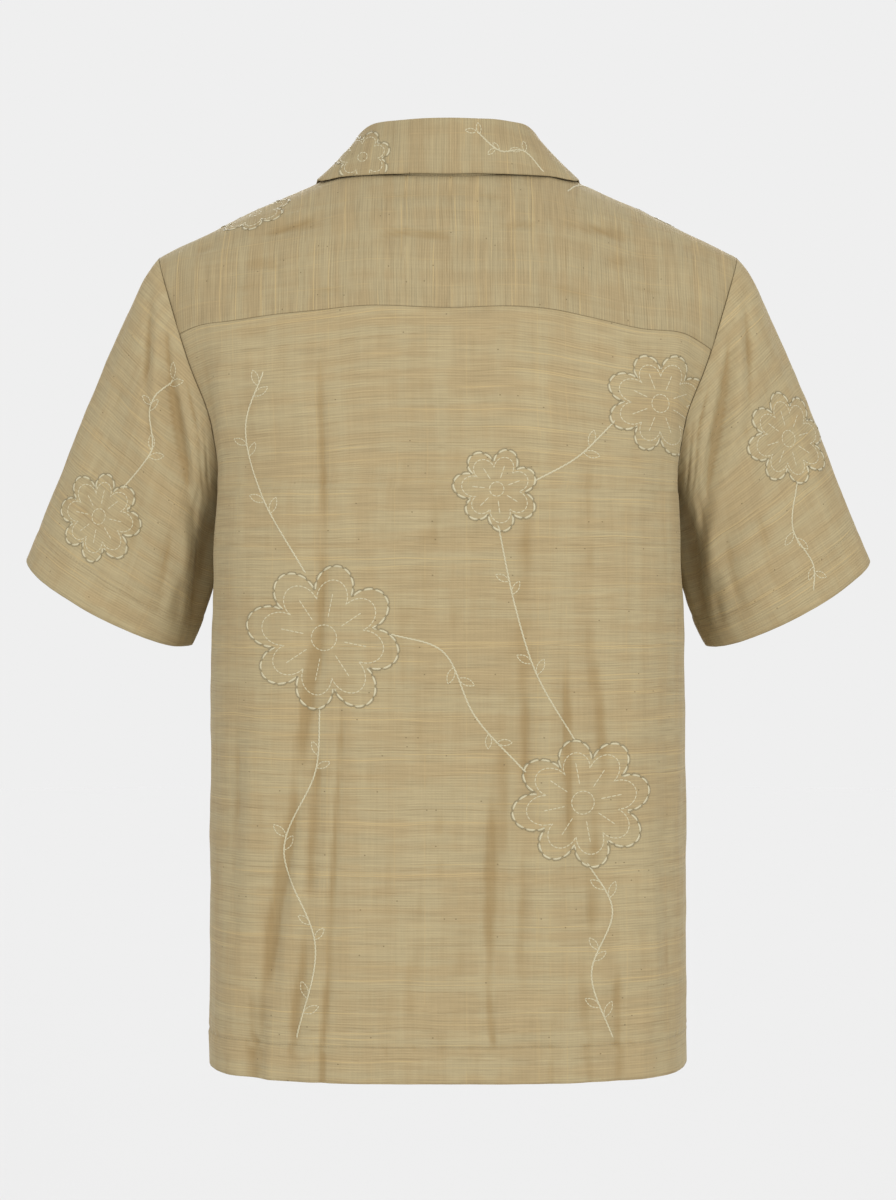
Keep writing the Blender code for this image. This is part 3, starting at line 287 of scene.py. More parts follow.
@dataclass(frozen=True)
class BodyForm:
    """The filled-out form that every panel of the body lies on."""

    hem_height: float = -699 * MM
    underarm_height: float = -262 * MM
    half_waist: float = 184.8 * MM
    tip_height: float = -77 * MM
    tip_half_width: float = 248 * MM
    widens_from: float = -245 * MM
    widens_ease: float = 0.08
    back_depths: tuple[float, float] = (132 * MM, 145 * MM)
    front_depths: tuple[float, float] = (125 * MM, 131 * MM)
    shoulder_peak: float = 21.6 * MM
    shoulder_slope: float = 0.484
    shoulder_rounding: float = 30 * MM
    shoulder_fullness: float = 0.35
    pinch: float = 20 * MM
    pinch_reach: float = 35 * MM
    pinch_fades: tuple[float, float] = (50 * MM, 90 * MM)
    square_heights: tuple[float, ...] = (-699 * MM, -262 * MM, -77 * MM, 30 * MM)
    square_powers: tuple[float, ...] = (3.5, 2.9, 2.3, 2.1)
    overlap: float = 18 * MM
    overlap_fade: float = 60 * MM
    overlap_shift: float = 1.05 * MM
    neck_half_width: float = 78 * MM
    neck_back: float = 69 * MM
    neck_front: float = 100 * MM

    def half_width(self, height: Array) -> Array:
        """Half the form's width at a height."""
        share = np.clip((height - self.widens_from) / (self.tip_height - self.widens_from), 0, 1)
        eased = share**2 * (1 + self.widens_ease) / (share + self.widens_ease)
        return self.half_waist + (self.tip_half_width - self.half_waist) * eased

    def squareness(self, height: Array) -> Array:
        """The power of the section's superellipse at a height."""
        return curve_through(self.square_heights, self.square_powers, height)

    def depth(self, height: Array, back: Array) -> Array:
        """How far the form reaches from its middle plane, before it closes over the shoulders."""
        down = (self.underarm_height - height) / (self.underarm_height - self.hem_height)
        down = np.clip(down, 0, 1) ** 2
        at_back = self.back_depths[0] + (self.back_depths[1] - self.back_depths[0]) * down
        at_front = self.front_depths[0] + (self.front_depths[1] - self.front_depths[0]) * down
        return np.where(back, at_back, at_front)

    def closing(self, angle: Array) -> Array:
        """How the form closes over the shoulders: 1 is an ellipse, less is fuller."""
        return 1 - self.shoulder_fullness * np.sin(angle) ** 2

    def ridge_height(self, across: Array) -> Array:
        """The height of the shoulder's top line."""
        rounded = np.hypot(across, self.shoulder_rounding) - self.shoulder_rounding
        return self.shoulder_peak - self.shoulder_slope * rounded

    def point(self, angle: Array, level: Array) -> Array:
        """The plain form's point at an angle in degrees and a level."""
        angle, level = np.broadcast_arrays(np.radians(angle), np.asarray(level, float))
        below = np.where(level < BACK_UNDERARM, -level, np.clip(level - FRONT_UNDERARM, 0, None))
        turn = np.radians(90 * np.clip(level, BACK_UNDERARM, FRONT_UNDERARM))
        low = self.underarm_height - below * (self.underarm_height - self.hem_height)
        x = np.zeros(angle.shape)
        for _ in range(8):
            rise = self.ridge_height(x) - self.underarm_height
            z = np.where(below > 0, low, self.underarm_height + rise * np.sin(turn))
            power = self.squareness(z)
            reach = (np.abs(np.sin(angle)) ** power + np.abs(np.cos(angle)) ** power) ** (-1 / power)
            x = self.half_width(z) * reach * np.sin(angle)
        over = np.sign(np.cos(turn)) * np.abs(np.cos(turn)) ** self.closing(angle)
        y = self.depth(z, level < RIDGE) * reach * np.cos(angle) * over
        above = z - self.underarm_height
        fade = np.where(above > 0, self.pinch_fades[0], self.pinch_fades[1])
        pinch = self.pinch * np.exp(-((y / self.pinch_reach) ** 2) - (above / fade) ** 2)
        x = x - pinch * np.clip(np.sin(angle), -1, 1) ** 3
        return np.stack([x, y, z], axis=-1)

    def normal(self, angle: Array, level: Array) -> Array:
        """The outward normal of the plain form."""
        step = 1e-4
        angle, level = np.asarray(angle, float), np.asarray(level, float)
        around = self.point(angle + 90 * step, level) - self.point(angle - 90 * step, level)
        over = self.point(angle, level + step) - self.point(angle, level - step)
        return unit(np.cross(over, around))

    def fold_relief(self, points: Array, back: Array, folds: Sequence[BodyFold]) -> Array:
        """How far folds move the body's points outwards.

        Args:
            points: Points of the plain form.
            back: Where a point is on the back.
            folds: The folds that lie on the body.

        Returns:
            The move outwards at each point.
        """
        relief = np.zeros(points.shape[:-1])
        for fold in folds:
            run = (fold.top_height - points[..., 2]) / (fold.top_height - fold.low_height)
            middle = fold.top_across + (fold.low_across - fold.top_across) * smooth(run)
            ends = smooth(run / END_FADE)
            if fold.low_height > self.hem_height:
                ends = ends * smooth((1 - run) / 0.3)
            shape = bell(points[..., 0] - middle, fold.half_width)
            relief += np.where(back == (fold.face is Face.BACK), fold.depth * shape * ends, 0)
        return relief

    @staticmethod
    def drag_relief(points: Array, back: Array) -> Array:
        """How far the drag lines move the body's points outwards."""
        relief = np.zeros(points.shape[:-1])
        view = points[..., [0, 2]]
        for crease in DRAG_LINES:
            start = np.array([crease.top_across, crease.top_height])
            run = np.array([crease.low_across, crease.low_height]) - start
            share = ((view - start) @ run) / (run @ run)
            aside = (view - start) @ unit(np.array([-run[1], run[0]]))
            # Each bows a little and dies away at both ends
            aside = aside + CREASE_BOW * np.linalg.norm(run) * (1 - (2 * share - 1) ** 2)
            ends = smooth(share / END_FADE) * smooth((1 - share) / END_FADE)
            shape = crease.depth * bell(aside, crease.half_width) * ends
            relief += np.where(back == (crease.face is Face.BACK), shape, 0)
        return relief

    def cloth(self, angle: Array, level: Array, side: int = 0, fine: bool = False) -> Array:
        """Points of the body's cloth, with its folds.

        Args:
            angle: Angles round the body, in degrees.
            level: Levels on the body.
            side: 1 on the left front, -1 on the right one and 0 elsewhere.
            fine: Whether the finer creases are there too.

        Returns:
            The points.
        """
        plain, normal = self.point(angle, level), self.normal(angle, level)
        level = np.broadcast_to(level, plain.shape[:-1])
        out = self.fold_relief(plain, level < RIDGE, MAIN_FOLDS)
        if fine:
            out = out + self.fold_relief(plain, level < RIDGE, CREASES) + self.drag_relief(plain, level < RIDGE)
        near = smooth(1 - (np.abs(plain[..., 0]) - self.overlap) / self.overlap_fade)
        out = out + side * self.overlap_shift * near
        return plain + normal * out[..., None]

    def place_in_plan(self, x: float, y: float) -> tuple[float, float]:
        """Angle and level of the form's point above a place in plan."""
        z, back = 0.0, y >= 0
        angle = turn = 0.0
        for _ in range(8):
            power = float(self.squareness(z))
            share = min(abs(x) / float(self.half_width(z)), 1)
            front_share = (1 - share**power) ** (1 / power)
            angle = math.atan2(share, front_share)
            over = min(abs(y) / (float(self.depth(z, back)) * front_share), 1)
            turn = math.acos(math.copysign(over ** (1 / float(self.closing(angle))), y))
            z = self.underarm_height + (float(self.ridge_height(x)) - self.underarm_height) * math.sin(turn)
        return math.copysign(math.degrees(angle), x), math.degrees(turn) / 90

    def place_in_view(self, x: float, z: float, back: bool = False) -> tuple[float, float]:
        """Angle and level of the form's point at a place in the front or back view."""
        power = float(self.squareness(z))
        share = min(abs(x) / float(self.half_width(z)), 1)
        angle = math.degrees(math.atan2(share, (1 - share**power) ** (1 / power)))
        if z < self.underarm_height:
            below = (self.underarm_height - z) / (self.underarm_height - self.hem_height)
            level = -below if back else FRONT_UNDERARM + below
        else:
            rise = (z - self.underarm_height) / (float(self.ridge_height(x)) - self.underarm_height)
            level = math.degrees(math.asin(min(rise, 1))) / 90
            level = level if back else FRONT_UNDERARM - level
        return math.copysign(angle, x), level

    def neck_place(self, angle: float) -> tuple[float, float]:
        """The neckline's place at an angle in plan, 0 at the back and 90 at the side."""
        turn = math.radians(abs(angle))
        reach = self.neck_back if abs(angle) < 90 else self.neck_front
        across = math.copysign(self.neck_half_width * math.sin(turn), angle)
        return self.place_in_plan(across, reach * math.cos(turn))

    def neckline(self, start: float, end: float, cells: int) -> Array:
        """The neckline from one angle in plan to another."""
        return np.array([self.neck_place(angle) for angle in np.linspace(start, end, cells + 1)])

    def lifted(self, points: Array, clearance: float) -> Array:
        """Points moved out, where needed, to lie at least the clearance off the upper body's form."""

        def closeness(p: Array) -> Array:
            """How far outside the form a point is, as a share of it."""
            x, y = p[..., 0], p[..., 1]
            z = np.maximum(p[..., 2], self.underarm_height + MM)
            power = self.squareness(z)
            share = np.clip(np.abs(x) / self.half_width(z), 0, 0.999)
            front_share = (1 - share**power) ** (1 / power)
            exponent = 1 / self.closing(np.arctan2(share, front_share))
            over = (np.abs(y) / (self.depth(z, y > 0) * front_share)) ** exponent
            up = (z - self.underarm_height) / (self.ridge_height(x) - self.underarm_height)
            return np.hypot(over, up) - 1

        points = np.array(points, float)
        steps = 0.05 * MM * np.eye(3)
        for _ in range(4):
            rises = [closeness(points + step) - closeness(points - step) for step in steps]
            slope = np.stack(rises, axis=-1) / (2 * steps[0, 0])
            steepness = np.linalg.norm(slope, axis=-1)
            short = np.clip(clearance - closeness(points) / steepness, 0, None)
            points = points + slope / steepness[..., None] * short[..., None]
        return points


# Seams


@dataclass(frozen=True)
class Cutting:
    """Where the pieces are cut, and in how many cells each stretch of a seam is drawn."""

    form: BodyForm = BodyForm()
    armhole_bend: float = 62.0
    armhole_rounding: float = 0.32
    front_yoke_at_arm: float = 1.42
    yoke_neck_end: float = 108.0
    gorge_angle: float = 128.0
    break_height: float = -165 * MM
    hem_depth: float = 26 * MM
    hem_rows: int = 9
    side_rows: int = 124
    lapel_rows: int = 32
    neck_rows: int = 14
    yoke_rows: int = 42
    front_columns: int = 80
    neck_columns: int = 100
    back_yoke: tuple[tuple[float, float], ...] = (
        (-205, -153.5), (-186, -143.5), (-144, -139.4), (-104, -131.5), (-80, -126.8), (-56, -124.7), (0, -126),
        (66, -124), (96, -126.7), (128, -129), (168, -133), (190, -134.5), (209, -140.3),
    )

    @property
    def armhole_rows(self) -> int:
        """Cells of an armhole below the yoke, which are those of the open neck and neckline beside it."""
        return self.lapel_rows + self.neck_rows

    @property
    def back_columns(self) -> int:
        """Cells across the back."""
        return self.neck_columns + 2 * self.front_columns

    def armhole_angle(self, level: Array) -> Array:
        """The armhole's angle at a level: the side at the underarm, rounding up to a constant angle."""
        rise = np.clip(np.sin(np.radians(90 * level)) / self.armhole_rounding, 0, 1)
        return SIDE - (SIDE - self.armhole_bend) * np.sqrt(np.clip(1 - (1 - rise) ** 2, 0, 1))

    def armhole(self, start: float, end: float, cells: int) -> Array:
        """The armhole from one level to another, in cells of even length."""
        fine = np.linspace(0, 1, 400)
        if start == BACK_UNDERARM:
            fine = fine**2
        if end == FRONT_UNDERARM:
            fine = 1 - (1 - fine) ** 2
        levels = start + (end - start) * fine
        places = np.stack([self.armhole_angle(levels), levels], axis=1)
        run = run_along(self.form.point(*places.T), 0)
        even = np.linspace(0, run[-1], cells + 1)
        return np.stack([np.interp(even, run, column) for column in places.T], axis=1)

    def side_levels(self) -> Array:
        """Shares of the side seam from hem to underarm, with close rows at the hem's stitching."""
        rise = self.form.underarm_height - self.form.hem_height
        hem = self.hem_depth
        below = np.linspace(0, hem - 2.4 * MM, self.hem_rows + 1)
        at = hem + np.array([-1.3, -0.5, 0.3, 1.1, 2.4]) * MM
        above = np.linspace(at[-1], rise, self.side_rows - self.hem_rows - len(at) + 1)[1:]
        return np.concatenate([below, at, above]) / rise

    def back_yoke_place(self, angle: float) -> tuple[float, float]:
        """The back yoke seam's place at an angle."""
        across_rows, heights = (np.array(column) * MM for column in zip(*self.back_yoke))
        level = 0.4
        for _ in range(8):
            across = self.form.point(angle, level)[0]
            height = float(curve_through(across_rows, heights, across))
            level = self.form.place_in_view(across, height, back=True)[1]
        return angle, level

    def back_yoke_seam(self) -> Array:
        """The seam between back and yoke, from the wearer's right armhole to the left."""
        angles = np.linspace(-self.armhole_bend, self.armhole_bend, self.back_columns + 1)
        return np.array([self.back_yoke_place(angle) for angle in angles])

    def front_yoke_seam(self) -> Array:
        """The seam between yoke and left front, from neck to armhole."""
        start = self.form.neck_place(self.yoke_neck_end)
        end = (self.armhole_bend, self.front_yoke_at_arm)
        share = np.linspace(0, 1, self.front_columns + 1)
        seam = line(start, end, self.front_columns)
        seam[:, 1] = start[1] + (end[1] - start[1]) * share**1.6
        return seam

    def opening_edge(self, side: int) -> Array:
        """A front's edge along the open neck, from the break to the gorge."""
        gorge = self.form.point(*self.form.neck_place(side * self.gorge_angle))
        start = np.array([-side * self.form.overlap, self.break_height])
        share = np.linspace(0, 1, self.lapel_rows + 1)[:, None]
        view = (1 - share) * start + share * gorge[[0, 2]]
        return np.array([self.form.place_in_view(x, z) for x, z in view])


def sleeve_leaves(places: Array, side: int) -> Array:
    """The direction in which a sleeve leaves its armhole, at each place of it."""
    turn = np.radians(90 * places[:, 1])
    level = np.ones(len(turn))
    return unit(np.stack([side * 0.70 * level, 0.25 * np.sin(2 * turn), -0.72 * level], axis=1))


class Seams:
    """Every seam that two pieces share, for one side of the wearer: 1 is the left and -1 the right."""

    def __init__(self, cutting: Cutting, side: int) -> None:
        """Works out the seams.

        Args:
            cutting: The sizes of the cut.
            side: 1 for the wearer's left, -1 for the right.
        """
        rise = cutting.side_levels()
        back_yoke = cutting.back_yoke_seam()
        yoke_end = float(back_yoke[-1 if side > 0 else 0, 1])
        flip = np.array([side, 1.0])
        self.cutting, self.side = cutting, side
        self.back_side = np.stack([np.full(len(rise), SIDE), rise - 1], axis=1) * flip
        self.front_side = np.stack([np.full(len(rise), SIDE), 3 - rise], axis=1) * flip
        rows = cutting.armhole_rows
        self.back_armhole = cutting.armhole(BACK_UNDERARM, yoke_end, rows) * flip
        self.yoke_armhole = cutting.armhole(yoke_end, cutting.front_yoke_at_arm, cutting.yoke_rows) * flip
        self.front_armhole = cutting.armhole(cutting.front_yoke_at_arm, FRONT_UNDERARM, rows) * flip
        self.front_yoke = cutting.front_yoke_seam() * flip
        self.neck = cutting.form.neckline(
            side * cutting.yoke_neck_end, side * cutting.gorge_angle, cutting.neck_rows
        )
        self.opening = cutting.opening_edge(side)
        self.ring = join(self.back_armhole, self.yoke_armhole, self.front_armhole)[:-1]
        self.body_mitre, self.sleeve_mitre = self._mitres()

    def _mitres(self) -> tuple[Array, Array]:
        """The directions of the body's and the sleeve's thickness round the armhole."""
        form = self.cutting.form
        normal, points = form.normal(*self.ring.T), form.point(*self.ring.T)
        along = np.roll(points, -1, axis=0) - np.roll(points, 1, axis=0)
        sleeve_normal = unit(np.cross(along, sleeve_leaves(self.ring, self.side))) * self.side
        middle = unit(normal + sleeve_normal)
        cosine = (middle * normal).sum(-1, keepdims=True)
        ridge = smooth((cosine - MITRED_FROM) / (MITRED_WHOLLY - MITRED_FROM))
        mitre = middle / np.maximum(cosine, MITRED_FROM)
        return normal + (mitre - normal) * ridge, sleeve_normal + (mitre - sleeve_normal) * ridge

    def mitres(self, start: int, end: int) -> Array:
        """The body's thickness directions along a stretch of the armhole."""
        return np.take(self.body_mitre, np.arange(start, end + 1), axis=0, mode="wrap")


def patch(bottom: Array, top: Array, left: Array, right: Array) -> Array:
    """Places inside four seams, as a grid that runs across and then up."""
    across = np.linspace(0, 1, len(bottom))[:, None]
    climb = [(seam[:, 1] - seam[0, 1]) / (seam[-1, 1] - seam[0, 1]) for seam in (left, right)]
    share = (1 - across) * climb[0] + across * climb[1]
    grid = bottom[:, None] + (top - bottom)[:, None] * share[..., None]
    grid[..., 0] += (1 - across) * (left[:, 0] - grid[0, :, 0]) + across * (right[:, 0] - grid[-1, :, 0])
    return grid


# Cloth pieces


class Edge(Enum):
    """An edge of a piece's grid."""

    START = "start"
    END = "end"
    FOOT = "foot"
    TOP = "top"


@dataclass
class ClothPiece:
    """One cut piece of cloth: a thin closed shell between two grids that run across and then along."""

    name: str
    outer: Array
    inner: Array
    grain: Array
    seamed: tuple[Edge, ...] = ()
    ring: bool = False
    stitched: Optional[Array] = None
    seam_gap: float = 0.1 * MM
    edge_round: float = 0.35
    crease_shade_share: float = 1.0
    # Rounds of smoothing across and along, which give the cloth around a crease, and the depths of its painted
    # shade
    smoothing: tuple[int, int] = (18, 5)
    shade_from: float = 0.10 * MM
    shade_range: float = 0.85 * MM

    def edge_distance(self) -> Array:
        """The distance of every grid point from the nearest seamed edge."""
        across, along = run_along(self.outer, 0), run_along(self.outer, 1)
        far = np.full(self.outer.shape[:2], 1.0)
        distances = {
            Edge.START: across, Edge.END: across[-1] - across,
            Edge.FOOT: along, Edge.TOP: along[:, -1:] - along,
        }
        for edge in self.seamed:
            far = np.minimum(far, distances[edge])
        return far

    def pull_in(self, grid: Array) -> Array:
        """The grid with its seamed edges moved in by half the seam's gap."""
        grid = grid.copy()
        borders = {
            Edge.START: (np.s_[0], np.s_[1]), Edge.END: (np.s_[-1], np.s_[-2]),
            Edge.FOOT: (np.s_[:, 0], np.s_[:, 1]), Edge.TOP: (np.s_[:, -1], np.s_[:, -2]),
        }
        for name, (edge, inside) in borders.items():
            if name in self.seamed:
                grid[edge] += unit(grid[inside] - grid[edge]) * self.seam_gap / 2
        return grid

    def hollows(self) -> Array:
        """How deep each point lies below the cloth around it: 0 on flat cloth and 1 in a sharp crease."""
        broad = self.outer
        for axis, rounds in enumerate(self.smoothing):
            for _ in range(rounds):
                if axis == 0 and self.ring:
                    broad = (np.roll(broad, 1, 0) + 2 * broad + np.roll(broad, -1, 0)) / 4
                    continue
                before, after = (np.take(broad, [end], axis) for end in (0, -1))
                wide = np.concatenate([before, broad, after], axis)
                count = broad.shape[axis]
                low, high = (np.take(wide, np.arange(first, first + count), axis) for first in (0, 2))
                broad = (low + 2 * broad + high) / 4
        depth = ((broad - self.outer) * unit(self.outer - self.inner)).sum(-1)
        return np.clip((depth - self.shade_from) / self.shade_range, 0, 1)

    def build(self, material: Material) -> Object:
        """Makes the shell, with its grain's coordinates kept for the weave.

        Args:
            material: The cloth's finish.

        Returns:
            The new object.
        """
        reach = self.edge_distance()
        # The hem's stitching counts as a seam here, so that it takes the painted seam shade too
        if self.stitched is not None:
            reach = np.minimum(reach, self.stitched)
        outer, inner = self.pull_in(self.outer), self.pull_in(self.inner)
        columns, rows = outer.shape[:2]
        grain = np.concatenate([self.grain, reach[..., None]], axis=-1)
        # How deep each point lies in a crease, which the finish turns into painted shade
        hollows = self.hollows() * self.crease_shade_share
        if self.ring:
            outer, inner = (np.concatenate([grid, grid[:1]]) for grid in (outer, inner))
            closing = grain[:1].copy()
            closing[..., 1] = grain[-1:, :, 1] + (grain[-1:, :, 1] - grain[-2:-1, :, 1])
            grain = np.concatenate([grain, closing])
            hollows = np.concatenate([hollows, hollows[:1]])
            columns += 1
        middle_rim = self._rim(outer, inner)
        points = np.concatenate([outer.reshape(-1, 3), inner.reshape(-1, 3), middle_rim])
        count = columns * rows
        place = np.arange(count).reshape(columns, rows)
        cells = quads(place)
        loop = self._loop(place)
        after = np.roll(loop, -1)
        rim = 2 * count + np.arange(len(loop))
        rim_after = np.roll(rim, -1)
        borders = ([after, loop, rim, rim_after], [rim_after, rim, loop + count, after + count])
        pairs = [np.stack(border, axis=1) for border in borders]
        if self.ring:
            on_seam = self._on_ring_seam(loop, after, rows, columns)
            pairs = [pair[~on_seam] for pair in pairs]
        faces = np.concatenate([cells[:, ::-1] + count, cells] + pairs)
        grains, creased = (
            np.concatenate([flat, flat, flat[loop]]) for flat in (grain.reshape(-1, 3), hollows.ravel())
        )
        return add_mesh(self.name, points, faces, material, grains, creased, weld=self.ring)

    def _loop(self, place: Array) -> Array:
        """The grid's border, once round."""
        return np.concatenate([place[:-1, 0], place[-1, :-1], place[:0:-1, -1], place[0, :0:-1]])

    @staticmethod
    def _on_ring_seam(loop: Array, after: Array, rows: int, columns: int) -> Array:
        """Which border cells of a ring lie where it closes on itself."""
        column, column_after = loop // rows, after // rows
        return (column == column_after) & ((column == 0) | (column == columns - 1))

    def _rim(self, outer: Array, inner: Array) -> Array:
        """Points half way through the cloth round its border: pushed out where the edge is a turned fold."""
        columns, rows = outer.shape[:2]
        place = np.arange(columns * rows).reshape(columns, rows)
        loop = self._loop(place)
        flat_outer, flat_inner = outer.reshape(-1, 3), inner.reshape(-1, 3)
        middle = (flat_outer[loop] + flat_inner[loop]) / 2
        thickness = np.linalg.norm(flat_outer[loop] - flat_inner[loop], axis=1)
        push = np.zeros_like(middle)
        column, row = loop // rows, loop % rows
        checks = (
            (Edge.START, column == 0, (1, 0)), (Edge.END, column == columns - 1, (-1, 0)),
            (Edge.FOOT, row == 0, (0, 1)), (Edge.TOP, row == rows - 1, (0, -1)),
        )
        for edge, on_edge, (step_column, step_row) in checks:
            if edge in self.seamed or (self.ring and edge in (Edge.START, Edge.END)):
                continue
            inside = np.clip(column + step_column, 0, columns - 1) * rows + np.clip(row + step_row, 0, rows - 1)
            push += unit(flat_outer[loop] - flat_outer[inside]) * on_edge[:, None]
        return middle + unit(push) * (thickness * self.edge_round)[:, None]


def add_object(name: str, data: ID) -> Object:
    """Puts an object that holds the data into the scene."""
    made = bpy.data.objects.new(name, data)
    bpy.context.scene.collection.objects.link(made)
    return made


def add_mesh(
    name: str, points: Array, faces: Array, material: Material, grain: Array, creased: Optional[Array] = None,
    weld: bool = False,
) -> Object:
    """Adds one mesh object with its faces pointing outwards.

    Args:
        name: The object's name.
        points: Its points.
        faces: Its faces, as rows of point numbers.
        material: Its finish.
        grain: For each point, places along and across the cloth or thread and the distance from a seam.
        creased: For each point, how deep in a crease it lies, which the cloth's finish darkens as painted shade.
        weld: Whether points that lie on each other become one.

    Returns:
        The new object.
    """
    mesh = bpy.data.meshes.new(name)
    mesh.from_pydata(points.tolist(), [], faces.tolist())
    corners = np.empty(len(mesh.loops), np.int32)
    mesh.loops.foreach_get("vertex_index", corners)
    kept = mesh.attributes.new("grain", "FLOAT_VECTOR", "CORNER")
    kept.data.foreach_set("vector", grain[corners].astype(np.float32).ravel())
    if creased is not None:
        kept = mesh.attributes.new("creased", "FLOAT", "CORNER")
        kept.data.foreach_set("value", creased[corners].astype(np.float32))
    tool = bmesh.new()
    tool.from_mesh(mesh)
    if weld:
        bmesh.ops.remove_doubles(tool, verts=tool.verts, dist=1e-6)
        loose = [vertex for vertex in tool.verts if not vertex.link_faces]
        bmesh.ops.delete(tool, geom=loose, context="VERTS")
    bmesh.ops.recalc_face_normals(tool, faces=tool.faces)
    tool.to_mesh(mesh)
    tool.free()
    mesh.shade_smooth()
    mesh.set_sharp_from_angle(angle=CRISP_CLOTH)
    mesh.materials.append(material)
    return add_object(name, mesh)


# How the cloth hangs


@dataclass(frozen=True)
class Drape:
    """The small unevenness of pressed, slightly creased cloth, on top of its folds."""

    wave_height: float = 0.46 * MM
    wave_length: float = 42 * MM
    wave_stretch: float = 0.45
    ripple_height: float = 0.16 * MM
    ripple_length: float = 15 * MM
    ripple_stretch: float = 0.6
    pucker_height: float = 0.26 * MM
    pucker_length: float = 9 * MM
    pucker_reach: float = 6.5 * MM
    pucker_patch: float = 70 * MM
    calm_reach: float = 9 * MM
    seam_sink: float = 0.35 * MM
    seam_reach: float = 1.6 * MM

    def relief(self, piece_grain: Array, edge: Array, seed: int) -> Array:
        """How far the cloth stands off its form.

        Args:
            piece_grain: Places across and along the cloth's stripes.
            edge: Distances from the nearest seam.
            seed: Which unevenness to draw.

        Returns:
            The move outwards at each place.
        """
        soft = self.wave_height * uneven(piece_grain * (self.wave_stretch, 1.0), self.wave_length, seed)
        fine = self.ripple_height * uneven(piece_grain * (self.ripple_stretch, 1.0), self.ripple_length, seed + 1)
        along = uneven(piece_grain, self.pucker_length, seed + 2, 5)
        patchy = 0.6 + 0.4 * uneven(piece_grain, self.pucker_patch, seed + 3, 4)
        gather = self.pucker_height * along * patchy * bell(edge, self.pucker_reach)
        sunk = gather * smooth(edge / (1.5 * MM)) - self.seam_sink * bell(edge, self.seam_reach)
        return (soft + fine) * smooth(edge / self.calm_reach) + sunk


